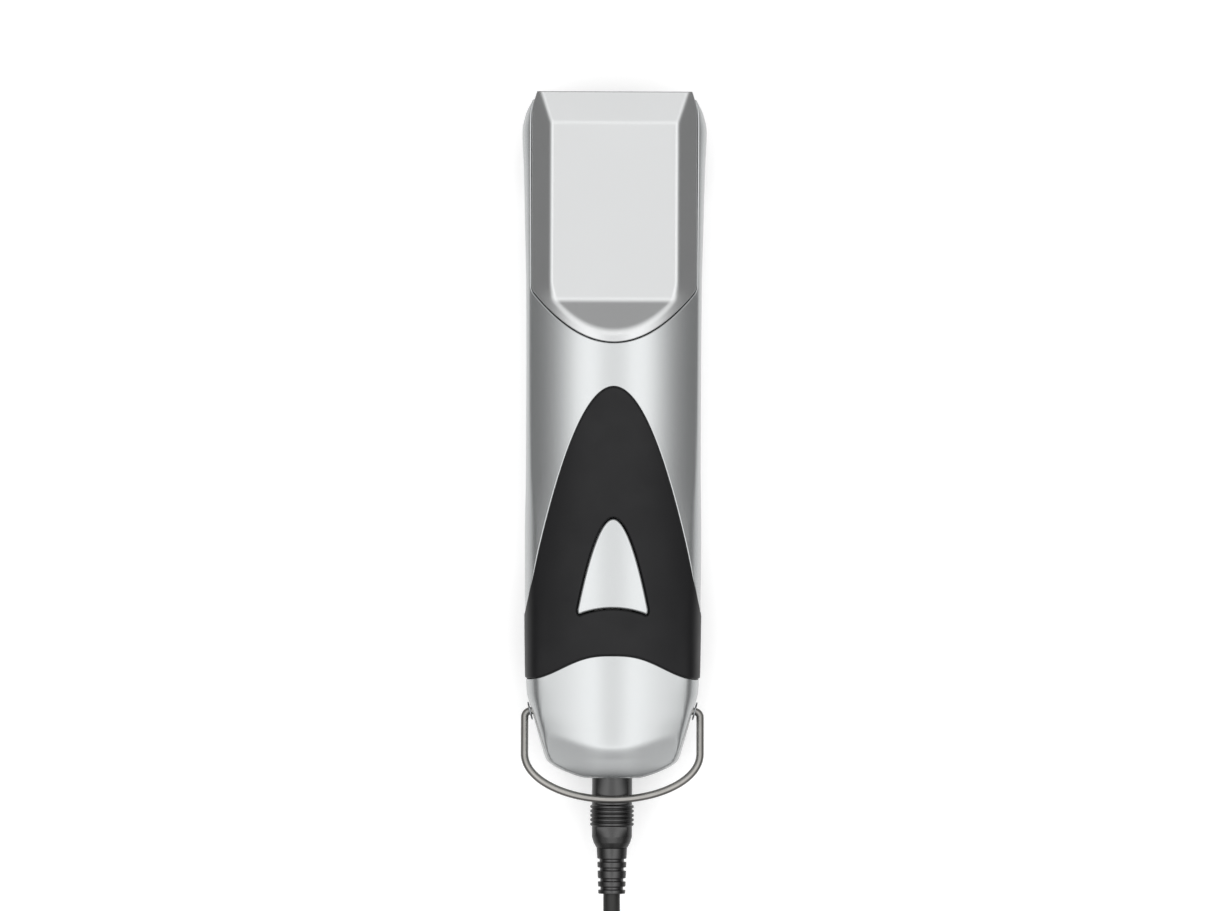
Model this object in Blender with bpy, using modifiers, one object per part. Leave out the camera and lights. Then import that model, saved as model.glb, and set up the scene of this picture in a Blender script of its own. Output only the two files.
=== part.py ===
"""Electric pet clipper with a low-voltage lead: housing, head cover, drive train, motor, switch, hanging loop,
blade hinge, cord and plug-in adapter. Metres, +Z up. The clipper lies on its back with its head towards +Y."""

import math

import bmesh
import bpy
from mathutils import Matrix, Vector

# All driving dimensions are in millimetres and are turned into metres by MM.
MM = 0.001
GAP = 0.3
BOSS_R = 3.1

# Housing: stations along Y as (y, half width at the seam, shoulder x, shoulder height, top height, bottom height).
BODY_STATIONS = [
    (-85.8, 7.4, 6.6, 32.0, 33.2, 11.5),
    (-85.2, 9.6, 8.8, 32.0, 33.9, 9.4),
    (-84.2, 12.4, 11.2, 31.8, 34.3, 7.0),
    (-82.9, 15.0, 13.2, 31.6, 34.8, 4.6),
    (-81.4, 16.6, 14.6, 31.8, 35.5, 2.8),
    (-77.8, 17.8, 15.8, 32.6, 37.0, 0.6),
    (-74.0, 18.9, 16.8, 32.7, 37.4, 0.0),
    (-69.4, 20.1, 17.8, 32.5, 37.4, 0.0),
    (-64.4, 21.5, 18.2, 32.4, 37.5, 0.0),
    (-56.0, 21.8, 18.6, 32.4, 37.5, 0.0),
    (-25.0, 22.1, 19.0, 31.4, 37.5, 0.0),
    (-8.0, 21.9, 20.4, 29.2, 37.5, 0.0),
    (10.0, 21.9, 20.8, 28.9, 37.5, 0.0),
    (36.0, 22.0, 20.9, 28.9, 37.5, 0.0),
    (50.0, 22.3, 20.9, 28.9, 37.5, 0.0),
    (66.0, 22.7, 21.0, 28.9, 37.5, 0.0),
    (75.8, 23.1, 21.0, 28.9, 37.5, 0.0),
    (80.0, 22.4, 20.9, 28.9, 37.5, 0.0),
    (83.4, 21.1, 20.0, 29.0, 37.4, 0.0),
    (85.8, 19.9, 19.2, 29.2, 37.4, 0.0),
]
TAIL_Y = -85.8
NOSE_Y = 85.8
SEAM_Z = 21.0
WALL = 3.0
DOME_POINTS = 8
CORNER_POINTS = 4
SIDE_POINTS = 4

# Head cover: it carries the dome on, and is planed off to a flat plate with a slope at each end.
COVER_BASE_Z = 28.7
COVER_WALL = 1.8
PLATE_Z = 33.4
SKIRT_HALF = 20.9
FACET_TOP_Y = 25.4
FACET_END_Y = 33.6
TIP_BEVEL_Y = 77.6
TIP_DROP = 2.3
SEAM_APEX_Y = 22.9

# Grip and button outlines.
GRIP_APEX_Y = 11.8
GRIP_END_Y = -55.06
GRIP_PROUD = 0.25
GRIP_DEPTH = 1.2
BUTTON_APEX_Y = -21.06
BUTTON_PROUD = 0.6

# Blade mouth: a plane that climbs from the back of the head to the nose.
MOUTH_Y = 57.0
MOUTH_ANGLE = math.atan2(30.0, 28.8)

# Drive train.
MOTOR_X = -4.5
MOTOR_Z = 16.5
MOTOR_R = 11.5
GEAR_X = 7.0
GEAR_Y = 27.0
GEAR_PITCH_R = 8.5
WORM_PITCH_R = 3.0
GEAR_TEETH = 16
WORM_STARTS = 2
ECCENTRIC = 1.0
LEVER_Y = 46.0
TAIL_PIN_X = -8.0

# Hanging loop.
LOOP_PIVOT_Y = -69.4
LOOP_PIVOT_Z = 18.5
LOOP_TILT = math.radians(17.0)
LOOP_WIRE_R = 0.95
LOOP_HALF = 22.0
LOOP_DEPTH = 23.0

# Lead and adapter.
LEAD_Z = 19.0
LEAD_R = 2.1
HANK_START_Y = -160.0
HANK_STRAIGHT = 50.0
HANK_R = 23.1
HANK_HEIGHT = 12.9
ADAPTER_Y = -272.0

# Pieces with so many cuts that the exact solver leaves loose edges in them.
MANY_CUTS = ("front_shell", "rear_shell", "worm_gear", "blade_latch", "head_cover", "cover_hollow")

PARTS = None
CUTTERS = None


# ---------------------------------------------------------------------------------------------- scene helpers


def clear_scene():
    for obj in list(bpy.data.objects):
        bpy.data.objects.remove(obj, do_unlink=True)


def make_collections():
    global PARTS, CUTTERS
    PARTS = bpy.data.collections.new("PetClipper")
    CUTTERS = bpy.data.collections.new("Cutters")
    CUTTERS.hide_render = True
    bpy.context.scene.collection.children.link(PARTS)
    bpy.context.scene.collection.children.link(CUTTERS)


def material(name, colour, roughness, metallic=0.0):
    made = bpy.data.materials.new(name)
    made.use_nodes = True
    shader = made.node_tree.nodes["Principled BSDF"]
    linear = [((c + 0.055) / 1.055) ** 2.4 if c > 0.04045 else c / 12.92 for c in colour]
    shader.inputs["Base Color"].default_value = (*linear, 1.0)
    shader.inputs["Roughness"].default_value = roughness
    shader.inputs["Metallic"].default_value = metallic
    made.diffuse_color = (*linear, 1.0)
    return made


def place(obj, name, look, smooth=35.0):
    """Puts a finished object into the parts collection, or into the cutters' one when it has no look."""
    obj.name = name
    target = PARTS if look else CUTTERS
    target.objects.link(obj)
    if look:
        obj.data.materials.append(look)
    else:
        obj.hide_render = True
        obj.display_type = "WIRE"
    if look and obj.type == "MESH" and smooth:
        obj.data.shade_smooth()
        obj.data.set_sharp_from_angle(angle=math.radians(smooth))
    return obj


def from_faces(name, points, faces, look=None, smooth=35.0):
    """A closed mesh from points in millimetres, with its normals turned outwards."""
    mesh = bpy.data.meshes.new(name)
    mesh.from_pydata([Vector(p) * MM for p in points], [], faces)
    work = bmesh.new()
    work.from_mesh(mesh)
    bmesh.ops.remove_doubles(work, verts=work.verts, dist=1e-7)
    bmesh.ops.recalc_face_normals(work, faces=work.faces)
    work.to_mesh(mesh)
    work.free()
    return place(bpy.data.objects.new(name, mesh), name, look, smooth)


def box(name, low, high, look=None, round_edges=0.0):
    work = bmesh.new()
    bmesh.ops.create_cube(work, size=1.0)
    low, high = Vector(low) * MM, Vector(high) * MM
    size = high - low
    for vert in work.verts:
        vert.co = low + Vector((v + 0.5) * s for v, s in zip(vert.co, size))
    mesh = bpy.data.meshes.new(name)
    work.to_mesh(mesh)
    work.free()
    obj = place(bpy.data.objects.new(name, mesh), name, look)
    if round_edges:
        bevel = obj.modifiers.new("round edges", "BEVEL")
        bevel.width = round_edges * MM
        bevel.segments = 2
        bevel.limit_method = "ANGLE"
    return obj


AXES = {
    "Z": Matrix.Identity(4),
    "Y": Matrix.Rotation(math.radians(-90.0), 4, "X"),
    "-Y": Matrix.Rotation(math.radians(90.0), 4, "X"),
    "X": Matrix.Rotation(math.radians(90.0), 4, "Y"),
}


def turned(name, profile, centre, axis="Z", look=None, steps=32):
    """A turned solid. The profile is (radius, height) in millimetres, down its outer side from top to bottom."""
    mesh = bpy.data.meshes.new(name)
    edges = [(i, i + 1) for i in range(len(profile) - 1)]
    points = list(profile)
    if profile[0] == profile[-1]:
        points = points[:-1]
        edges[-1] = (len(points) - 1, 0)
    mesh.from_pydata([(r * MM, 0.0, h * MM) for r, h in points], edges, [])
    obj = place(bpy.data.objects.new(name, mesh), name, look, smooth=0.0)
    screw = obj.modifiers.new("turn", "SCREW")
    screw.steps = steps
    screw.render_steps = steps
    screw.use_merge_vertices = True
    screw.merge_threshold = 1e-6
    screw.use_smooth_shade = False
    obj.matrix_world = Matrix.Translation(Vector(centre) * MM) @ AXES[axis]
    return obj


def rod(name, radius, start, length, axis="Z", look=None, steps=18):
    return turned(name, [(0.0, length), (radius, length), (radius, 0.0), (0.0, 0.0)], start, axis, look, steps)


def ring(name, inner, outer, start, length, axis="Z", look=None, steps=20):
    profile = [(outer, length), (outer, 0.0), (inner, 0.0), (inner, length), (outer, length)]
    return turned(name, profile, start, axis, look, steps)


def prism(name, outline, low, high, look=None):
    """An outline in the XY plane, pulled up from low to high. All in millimetres."""
    count = len(outline)
    points = [(x, y, low) for x, y in outline] + [(x, y, high) for x, y in outline]
    faces = [tuple(range(count)), tuple(range(count, 2 * count))]
    faces += [(i, (i + 1) % count, count + (i + 1) % count, count + i) for i in range(count)]
    return from_faces(name, points, faces, look)


def boolean(obj, other, operation):
    step = obj.modifiers.new(operation.lower(), "BOOLEAN")
    step.operation = operation
    step.solver = "MANIFOLD" if obj.name in MANY_CUTS else "EXACT"
    step.object = other
    return obj


def cut(obj, *others):
    for other in others:
        boolean(obj, other, "DIFFERENCE")
    return obj


def unite(obj, *others):
    for other in others:
        boolean(obj, other, "UNION")
    return obj


def keep(obj, other):
    return boolean(obj, other, "INTERSECT")


def tube(name, route, radius, look, resolution=2):
    """A round wire through the route's points, in millimetres, with closed ends."""
    curve = bpy.data.curves.new(name, "CURVE")
    curve.dimensions = "3D"
    curve.bevel_depth = radius * MM
    curve.bevel_resolution = resolution
    curve.use_fill_caps = True
    spline = curve.splines.new("POLY")
    spline.points.add(len(route) - 1)
    for point, place_mm in zip(spline.points, route):
        point.co = (*(Vector(place_mm) * MM), 1.0)
    obj = bpy.data.objects.new(name, curve)
    obj.name = name
    PARTS.objects.link(obj)
    curve.materials.append(look)
    return obj


def coil_spring(name, centre, radius, wire, length, turns, axis, look):
    route = []
    count = int(turns * 12)
    for i in range(count + 1):
        angle = 2.0 * math.pi * i / 12.0
        height = wire + (length - 2.0 * wire) * i / count
        local = Vector((radius * math.cos(angle), radius * math.sin(angle), height))
        route.append(Vector(centre) + AXES[axis].to_3x3() @ local)
    return tube(name, route, wire, look, resolution=1)


def set_origin(obj, point):
    """Moves the object's origin to a point in millimetres and leaves its shape where it is."""
    move = Vector(point) * MM - obj.matrix_world.translation
    local = obj.matrix_world.to_3x3().inverted() @ move
    obj.data.transform(Matrix.Translation(-local))
    obj.matrix_world.translation = Vector(point) * MM


# ---------------------------------------------------------------------------------------------- housing surface


def smooth_value(stations, y, column):
    """Monotone cubic through the stations: no overshoot between two of them."""
    if y <= stations[0][0]:
        return stations[0][column]
    if y >= stations[-1][0]:
        return stations[-1][column]
    index = max(i for i, s in enumerate(stations[:-1]) if s[0] <= y)

    def slope(k):
        return (stations[k + 1][column] - stations[k][column]) / (stations[k + 1][0] - stations[k][0])

    def tangent(k):
        if k == 0:
            return slope(0)
        if k == len(stations) - 1:
            return slope(k - 1)
        before, after = slope(k - 1), slope(k)
        if before * after <= 0.0:
            return 0.0
        return 2.0 * before * after / (before + after)

    y0, y1 = stations[index][0], stations[index + 1][0]
    t = (y - y0) / (y1 - y0)
    step = y1 - y0
    return (
        (2 * t**3 - 3 * t**2 + 1) * stations[index][column]
        + (t**3 - 2 * t**2 + t) * step * tangent(index)
        + (-2 * t**3 + 3 * t**2) * stations[index + 1][column]
        + (t**3 - t**2) * step * tangent(index + 1)
    )


def section_half(y):
    """The right half of a section, from the bottom centre to the top centre, as (x, z)."""
    half, shoulder_x, shoulder_z, top, bottom = (smooth_value(BODY_STATIONS, y, c) for c in range(1, 6))
    flat = 0.52 * half
    points = [(0.0, bottom), (flat, bottom)]
    low = bottom + 0.55 * (SEAM_Z - bottom)
    for i in range(1, CORNER_POINTS + 1):
        t = i / CORNER_POINTS
        x = (1 - t) ** 2 * flat + 2 * t * (1 - t) * (half - 0.5) + t * t * (half - 0.4)
        z = (1 - t) ** 2 * bottom + 2 * t * (1 - t) * (bottom + 0.3) + t * t * low
        points.append((x, z))
    drop = top - shoulder_z
    radius = (shoulder_x**2 + drop**2) / (2.0 * drop)
    turn = math.asin(min(1.0, shoulder_x / radius))
    knee_z = shoulder_z - (half - shoulder_x) * math.tan(turn)
    for i in range(SIDE_POINTS):
        t = i / SIDE_POINTS
        x = (1 - t * t) * half + t * t * shoulder_x
        z = (1 - t) ** 2 * SEAM_Z + 2 * t * (1 - t) * knee_z + t * t * shoulder_z
        points.append((x, z))
    for i in range(DOME_POINTS + 1):
        angle = turn * (1.0 - i / DOME_POINTS)
        points.append((radius * math.sin(angle), top - radius * (1.0 - math.cos(angle))))
    return points


def body_section(y, grow):
    half = section_half(y)
    loop = half + [(-x, z) for x, z in half[-2:0:-1]]
    count = len(loop)
    floor = max(0.0, -grow)
    points = []
    for i, (x, z) in enumerate(loop):
        before, after = loop[i - 1], loop[(i + 1) % count]
        run = Vector((after[0] - before[0], after[1] - before[1])).normalized()
        points.append((x + grow * run.y, y, max(z - grow * run.x, floor)))
    return points


def body_solid(name, grow=0.0, start=TAIL_Y, end=NOSE_Y, look=None):
    """The whole housing as a solid, grown or shrunk evenly, between two stations."""
    rows = sorted({s[0] for s in BODY_STATIONS if start < s[0] < end} | {start, end})
    rings = [body_section(y, grow) for y in rows]
    count = len(rings[0])
    points = [p for one in rings for p in one]
    faces = [tuple(range(count)), tuple(range((len(rows) - 1) * count, len(rows) * count))]
    for row in range(len(rows) - 1):
        for i in range(count):
            j = (i + 1) % count
            faces.append((row * count + i, row * count + j, (row + 1) * count + j, (row + 1) * count + i))
    return from_faces(name, points, faces, look)


def grip_outline(grow):
    side = []
    for s in (0.0, 0.25, 0.8, 2.0, 4.0, 7.5, 12.5, 19.0, 27.0, 36.0, 45.0, 53.5):
        side.append((2.79 * s**0.51 + grow, GRIP_APEX_Y - s))
    side[0] = (0.0, GRIP_APEX_Y + 2.0 * grow)
    side.append((27.0, side[-1][1] - 0.5 + grow))
    for i in range(9):
        x = 27.0 - 27.0 * i / 8.0
        wave = math.sin(math.pi * min(x, 21.7) / 43.4) ** 2
        side.append((x, GRIP_END_Y - 6.05 * wave**1.42 - grow))
    return side + [(-x, y) for x, y in side[-2:0:-1]]


def button_outline(grow):
    side = [(0.0, BUTTON_APEX_Y + 2.0 * grow)]
    for s in (0.25, 0.8, 2.0, 4.0, 7.5, 12.0, 17.0, 22.0):
        side.append((1.75 * s**0.516 + grow, BUTTON_APEX_Y - s))
    side.append((8.75 + grow, -44.3))
    side.append((8.2 + grow, -44.9 - grow))
    for x in (6.0, 3.5, 0.0):
        side.append((x, -43.3 - 1.6 * (x / 8.4) ** 2 - grow))
    return side + [(-x, y) for x, y in side[-2:0:-1]]


# ---------------------------------------------------------------------------------------------- head cover


def cover_outline(grow):
    """Plan outline of the cover: a bowed rear edge, straight sides and the tip."""
    side = []
    for i in range(9):
        x = 20.3 * i / 8.0
        side.append((x + grow * x / 20.3, SEAM_APEX_Y + x**2 / 33.0 - grow))
    side.append((SKIRT_HALF + grow, 36.8))
    side.append((SKIRT_HALF + grow, 81.0))
    side.append((20.0 + grow, 84.0))
    side.append((19.3 + grow, NOSE_Y + 0.5))
    return side + [(-x, y) for x, y in side[:0:-1]]


def planing_block(name, lower):
    """All that is planed off above the rear slope, the plate and the tip's slope."""
    slope = (FACET_END_Y - FACET_TOP_Y) / (37.5 - PLATE_Z)
    profile = [
        (FACET_TOP_Y - slope * 10.0, 47.5),
        (FACET_END_Y, PLATE_Z),
        (TIP_BEVEL_Y, PLATE_Z),
        (NOSE_Y + 5.0, PLATE_Z - TIP_DROP * (NOSE_Y + 5.0 - TIP_BEVEL_Y) / (NOSE_Y - TIP_BEVEL_Y)),
        (NOSE_Y + 5.0, 47.5),
    ]
    count = len(profile)
    points = [(x, y, z - lower) for x in (-30.0, 30.0) for y, z in profile]
    faces = [tuple(range(count)), tuple(range(count, 2 * count))]
    faces += [(i, (i + 1) % count, count + (i + 1) % count, count + i) for i in range(count)]
    return from_faces(name, points, faces)


def build_cover(looks):
    cover = body_solid("head_cover", look=looks["plate"])
    keep(cover, prism("cover_area", cover_outline(0.0), COVER_BASE_Z, 60.0))
    cut(cover, planing_block("cover_planing", 0.0))
    hollow = body_solid("cover_hollow", -COVER_WALL)
    keep(hollow, prism("cover_hollow_area", cover_outline(-3.2), 20.0, 60.0))
    keep(hollow, box("cover_hollow_reach", (-30.0, 0.0, 20.0), (30.0, 82.5, 60.0)))
    cut(hollow, planing_block("cover_hollow_planing", COVER_WALL))
    cut(cover, hollow)
    return cover


# ---------------------------------------------------------------------------------------------- housing


def mouth_point(along, inward, x=0.0):
    """A point given along the blade mouth's plane and inwards from it."""
    c, s = math.cos(MOUTH_ANGLE), math.sin(MOUTH_ANGLE)
    return (x, MOUTH_Y + along * c - inward * s, along * s + inward * c)


def mouth_prism(name, outline, half, look=None):
    """An outline of (along, inward) points on the mouth's plane, as wide as twice the half width."""
    count = len(outline)
    points = [mouth_point(a, n, -half) for a, n in outline] + [mouth_point(a, n, half) for a, n in outline]
    faces = [tuple(range(count)), tuple(range(count, 2 * count))]
    faces += [(i, (i + 1) % count, count + (i + 1) % count, count + i) for i in range(count)]
    return from_faces(name, points, faces, look)


def screw_places():
    return [(-16.9, 46.0), (16.9, 46.0), (-11.5, -72.5), (11.5, -72.5)]


def tail_bosses(name, base_z, height):
    """The two bosses behind the motor that the rear housing screws pass through."""
    places = [place for place in screw_places() if place[1] < 0.0]
    return [rod(f"{name}_{i}", BOSS_R, (x, y, base_z), height) for i, (x, y) in enumerate(places)]


def shared_cutters():
    tools = {}
    tools["hollow"] = body_solid("hollow_handle", -WALL, -79.0, 38.0)
    tools["head"] = box("hollow_head", (-14.5, 36.0, 7.0), (14.5, 56.0, 44.0))
    tools["lever_room"] = box("hollow_lever", (-12.0, 55.0, 23.5), (12.0, 78.0, 44.0))
    tools["mouth"] = mouth_prism("mouth_cut", [(-3.0, 0.0), (50.0, 0.0), (50.0, -60.0), (-3.0, -60.0)], 40.0)
    tools["tip_slot"] = box("tip_slot", (-6.0, 70.9, 8.0), (6.0, 77.6, 24.0))
    tools["grip"] = prism("grip_room", grip_outline(GAP), -5.0, 45.0)
    cut(tools["grip"], body_solid("grip_floor", -GRIP_DEPTH - GAP))
    tools["loop_bores"] = rod("loop_bores", LOOP_WIRE_R + GAP, (-30.0, LOOP_PIVOT_Y, LOOP_PIVOT_Z), 60.0, "X")
    tools["lead_bore"] = rod("lead_bore", 5.35, (0.0, -95.0, LEAD_Z), 14.0, "Y")
    tools["socket_room"] = box("socket_room", (-5.6, -82.3, LEAD_Z - 5.9), (5.6, -77.0, LEAD_Z + 5.9))
    return tools


def build_front_shell(looks, tools):
    shell = body_solid("front_shell", look=looks["silver"])
    keep(shell, box("upper_half", (-40.0, -100.0, SEAM_Z + GAP / 2), (40.0, 100.0, 60.0)))
    cut(shell, tools["hollow"])
    unite(shell, *tail_bosses("front_boss", SEAM_Z + GAP / 2, 11.3))
    for i, (x, y) in enumerate(screw_places()):
        cut(shell, rod(f"front_pilot_{i}", 1.6, (x, y, 10.0), 17.8))
    cut(shell, tools["head"], tools["lever_room"], tools["mouth"], tools["tip_slot"])
    cut(shell, prism("cover_seat", cover_outline(GAP), COVER_BASE_Z - GAP, 60.0))
    cut(shell, tools["grip"])
    cut(shell, prism("button_hole", button_outline(0.35), 30.0, 50.0))
    cut(shell, tools["lead_bore"], tools["socket_room"])
    return shell


def build_rear_shell(looks, tools):
    shell = body_solid("rear_shell", look=looks["silver_rear"])
    keep(shell, box("lower_half", (-40.0, -100.0, -20.0), (40.0, 100.0, SEAM_Z - GAP / 2)))
    cut(shell, tools["hollow"], tools["head"])
    ribs = [box(f"cradle_{i}", (-18.0, y, 2.0), (14.0, y + 3.0, 14.0)) for i, y in enumerate((-27.0, 2.0))]
    bosses = tail_bosses("rear_boss", 2.0, SEAM_Z - GAP / 2 - 2.0)
    bosses.append(rod("axle_boss", 3.4, (GEAR_X, GEAR_Y, 2.0), 9.5))
    bosses.append(rod("lever_boss", 3.2, (0.0, LEVER_Y, 6.0), 17.0))
    unite(shell, *ribs, *bosses)
    cut(shell, rod("motor_room", MOTOR_R + GAP, (MOTOR_X, -40.0, MOTOR_Z), 60.0, "Y"))
    cut(shell, rod("axle_bore", 1.75, (GEAR_X, GEAR_Y, 3.0), 20.0))
    cut(shell, rod("lever_bore", 1.65, (0.0, LEVER_Y, 7.5), 30.0))
    for i, (x, y) in enumerate(screw_places()):
        cut(shell, rod(f"rear_clear_{i}", 1.6, (x, y, -2.0), 40.0))
        cut(shell, rod(f"rear_sink_{i}", 3.0, (x, y, -2.0), 6.3))
    cut(shell, tools["mouth"], tools["tip_slot"], tools["grip"], tools["loop_bores"])
    cut(shell, tools["lead_bore"], tools["socket_room"])
    cut(shell, mouth_prism("hinge_room", [(3.0, -2.0), (23.5, -2.0), (23.5, 4.0), (3.0, 4.0)], 8.8))
    cut(shell, box("latch_slot", (-6.3, 41.0, -2.0), (6.3, 60.0, 3.9)))
    return shell


def build_grips(looks, tools):
    button_room = prism("grip_button_hole", button_outline(0.35), 28.0, 50.0)
    floor = body_solid("grip_underside", -GRIP_DEPTH)
    for name, low, high in (("grip_front", SEAM_Z + GAP / 2, 60.0), ("grip_rear", -20.0, SEAM_Z - GAP / 2)):
        pad = body_solid(name, GRIP_PROUD, look=looks["rubber"])
        area = prism(name + "_area", grip_outline(0.0), low, high)
        keep(pad, area)
        cut(pad, floor)
        if name == "grip_front":
            cut(pad, button_room)


def build_screws(looks):
    for i, (x, y) in enumerate(screw_places()):
        base = 2.0
        profile = [(0.0, 25.4), (1.3, 24.6), (1.3, 2.0), (2.7, 2.0), (2.7, 0.5), (2.2, 0.0)]
        profile += [(1.1, 0.0), (1.1, 1.2), (0.0, 1.2)]
        turned(f"housing_screw_{i + 1}", profile, (x, y, base), look=looks["steel"], steps=16)


# ---------------------------------------------------------------------------------------------- blade hinge


def build_hinge(looks):
    bracket = mouth_prism("hinge_bracket", [(4.0, 2.2), (22.8, 2.2), (22.8, 3.7), (4.0, 3.7)], 8.4, looks["steel"])
    for sign in (-1.0, 1.0):
        low, high = sorted((sign * 6.6, sign * 8.4))
        outline = [(4.2, 3.0), (4.2, 0.4), (5.6, -0.8), (8.4, -0.8), (9.8, 0.4), (9.8, 3.0)]
        ear = mouth_prism(f"hinge_ear_{int(sign)}", outline, 0.9)
        ear.location.x = (low + high) / 2.0 * MM
        unite(bracket, ear)
    pin_at = mouth_point(7.0, 0.8)
    cut(bracket, mouth_prism("tongue_room", [(3.0, -2.0), (9.7, -2.0), (9.7, 5.0), (3.0, 5.0)], 6.45))
    cut(bracket, rod("hinge_bore", 1.25, (-15.0, pin_at[1], pin_at[2]), 30.0, "X", steps=16))
    rod("hinge_pin", 0.95, (-8.6, pin_at[1], pin_at[2]), 17.2, "X", looks["steel"], steps=16)
    outline = [(5.4, -0.4), (6.4, -0.8), (20.2, -0.8), (20.8, -0.2), (20.8, 0.4)]
    outline += [(9.4, 0.4), (8.2, 2.0), (6.0, 2.0), (5.4, 1.4)]
    tongue = mouth_prism("blade_tongue", outline, 6.2, looks["steel_dark"])
    cut(tongue, rod("tongue_bore", 1.25, (-15.0, pin_at[1], pin_at[2]), 30.0, "X", steps=16))
    cut(tongue, mouth_prism("tongue_window", [(13.0, -3.0), (18.0, -3.0), (18.0, 3.0), (13.0, 3.0)], 2.4))
    set_origin(tongue, pin_at)
    angle = Matrix.Rotation(MOUTH_ANGLE, 4, "X")
    for i, x in enumerate((-4.6, 4.6)):
        profile = [(0.0, 3.4), (0.9, 2.9), (0.9, 0.0), (1.7, 0.0), (1.7, -0.6), (0.0, -0.9)]
        screw = turned(f"hinge_screw_{i + 1}", profile, (0.0, 0.0, 0.0), look=looks["steel"], steps=16)
        screw.matrix_world = Matrix.Translation(Vector(mouth_point(17.5, 1.8, x)) * MM) @ angle
        bore = rod(f"hinge_screw_bore_{i + 1}", 1.2, (0.0, 0.0, -2.0), 9.0, steps=16)
        bore.matrix_world = screw.matrix_world
        cut(bracket, bore)
        cut(bpy.data.objects["rear_shell"], bore)


def build_latch(looks):
    latch = box("blade_latch", (-5.9, 47.0, 0.5), (5.9, 56.6, 3.5), looks["steel_dark"], 0.4)
    cut(latch, box("latch_notch", (-3.0, 55.0, 1.9), (3.0, 58.0, 5.0)))
    cut(latch, rod("latch_spring_seat", 1.1, (0.0, 45.0, 1.95), 4.5, "Y", steps=16))
    set_origin(latch, (0.0, 52.0, 2.0))
    coil_spring("latch_spring", (0.0, 41.3, 1.95), 0.62, 0.17, 8.0, 6, "Y", looks["steel"])


# ---------------------------------------------------------------------------------------------- drive train


def worm_lead():
    return WORM_STARTS * 2.0 * math.pi * GEAR_PITCH_R / GEAR_TEETH


def tooth(phase, low, high):
    """Radius of a tooth form: low, flank, high, flank over one turn of the phase."""
    phase = phase % 1.0
    rise = min(max((0.30 - abs(phase - 0.5)) / 0.12, 0.0), 1.0)
    return low + (high - low) * rise


def build_shaft(looks):
    """The motor's shaft with its worm cut into the front end, as one turned and threaded piece."""
    count = 20
    stops = [(-38.0, 1.1), (19.0, 1.1), (19.2, 2.3)]
    worm = [(20.0 + 14.0 * i / 20.0, None) for i in range(21)]
    stops = stops + worm + [(34.8, 2.3), (35.0, 1.1), (44.0, 1.1)]
    points, faces = [], []
    for y, radius in stops:
        for i in range(count):
            angle = 2.0 * math.pi * i / count
            r = radius
            if radius is None:
                phase = WORM_STARTS * (angle / (2.0 * math.pi) - (y - GEAR_Y) / worm_lead())
                r = tooth(phase, 2.45, 3.35)
            points.append((MOTOR_X + r * math.cos(angle), y, MOTOR_Z + r * math.sin(angle)))
    rows = len(stops)
    faces.append(tuple(range(count)))
    faces.append(tuple(range((rows - 1) * count, rows * count)))
    for row in range(rows - 1):
        for i in range(count):
            j = (i + 1) % count
            faces.append((row * count + i, row * count + j, (row + 1) * count + j, (row + 1) * count + i))
    shaft = from_faces("worm_shaft", points, faces, looks["steel"], smooth=40.0)
    set_origin(shaft, (MOTOR_X, 0.0, MOTOR_Z))


def build_gear(looks):
    """Helical gear whose tooth points at the worm in the plane of the worm's axis."""
    low, high = MOTOR_Z - 2.6, MOTOR_Z + 2.6
    count = GEAR_TEETH * 6
    rows = 3
    twist = -worm_lead() / (2.0 * math.pi * WORM_PITCH_R * GEAR_PITCH_R)
    points = []
    for row in range(rows):
        z = low + (high - low) * row / (rows - 1)
        for i in range(count):
            angle = 2.0 * math.pi * i / count
            phase = (angle - math.pi - twist * (z - MOTOR_Z)) * GEAR_TEETH / (2.0 * math.pi) + 0.5
            r = tooth(phase, 7.85, 8.8)
            points.append((GEAR_X + r * math.cos(angle), GEAR_Y + r * math.sin(angle), z))
    faces = [tuple(range(count)), tuple(range((rows - 1) * count, rows * count))]
    for row in range(rows - 1):
        for i in range(count):
            j = (i + 1) % count
            faces.append((row * count + i, row * count + j, (row + 1) * count + j, (row + 1) * count + i))
    gear = from_faces("worm_gear", points, faces, looks["nylon"], smooth=0.0)
    unite(gear, rod("gear_hub", 4.6, (GEAR_X, GEAR_Y, high - 0.5), 2.8))
    cut(gear, rod("gear_bore", 1.5, (GEAR_X, GEAR_Y, 0.0), 19.9))
    unite(gear, rod("gear_stud", 1.2, (GEAR_X, GEAR_Y + ECCENTRIC, high + 1.6), 4.7))
    set_origin(gear, (GEAR_X, GEAR_Y, MOTOR_Z))
    rod("gear_axle", 1.45, (GEAR_X, GEAR_Y, 3.3), 16.3, "Z", looks["steel"])


def bar_outline(first, last):
    """A bar with round ends between two points, each given as (x, y, radius), as a flat outline."""
    (x0, y0, r0), (x1, y1, r1) = first, last
    heading = math.atan2(y1 - y0, x1 - x0)
    outline = []
    for x, y, r, turn in ((x1, y1, r1, -0.5), (x0, y0, r0, 0.5)):
        for i in range(13):
            angle = heading + math.pi * (turn + i / 12.0)
            outline.append((x + r * math.cos(angle), y + r * math.sin(angle)))
    return outline


def build_link(looks):
    """Link from the gear's stud to the lever's tail. Its eye is wide enough for the stud's whole orbit."""
    stud = (GEAR_X, GEAR_Y)
    tail = (TAIL_PIN_X, GEAR_Y)
    outline = bar_outline((tail[0], tail[1], 2.6), (stud[0], stud[1], 5.6))
    link = prism("drive_link", outline, 22.0, 24.3, looks["steel_dark"])
    cut(link, rod("link_tail_bore", 1.45, (tail[0], tail[1], 15.0), 20.0))
    cut(link, rod("link_stud_bore", 4.15, (stud[0], stud[1], 15.0), 20.0))
    set_origin(link, (tail[0], tail[1], 23.0))


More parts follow.
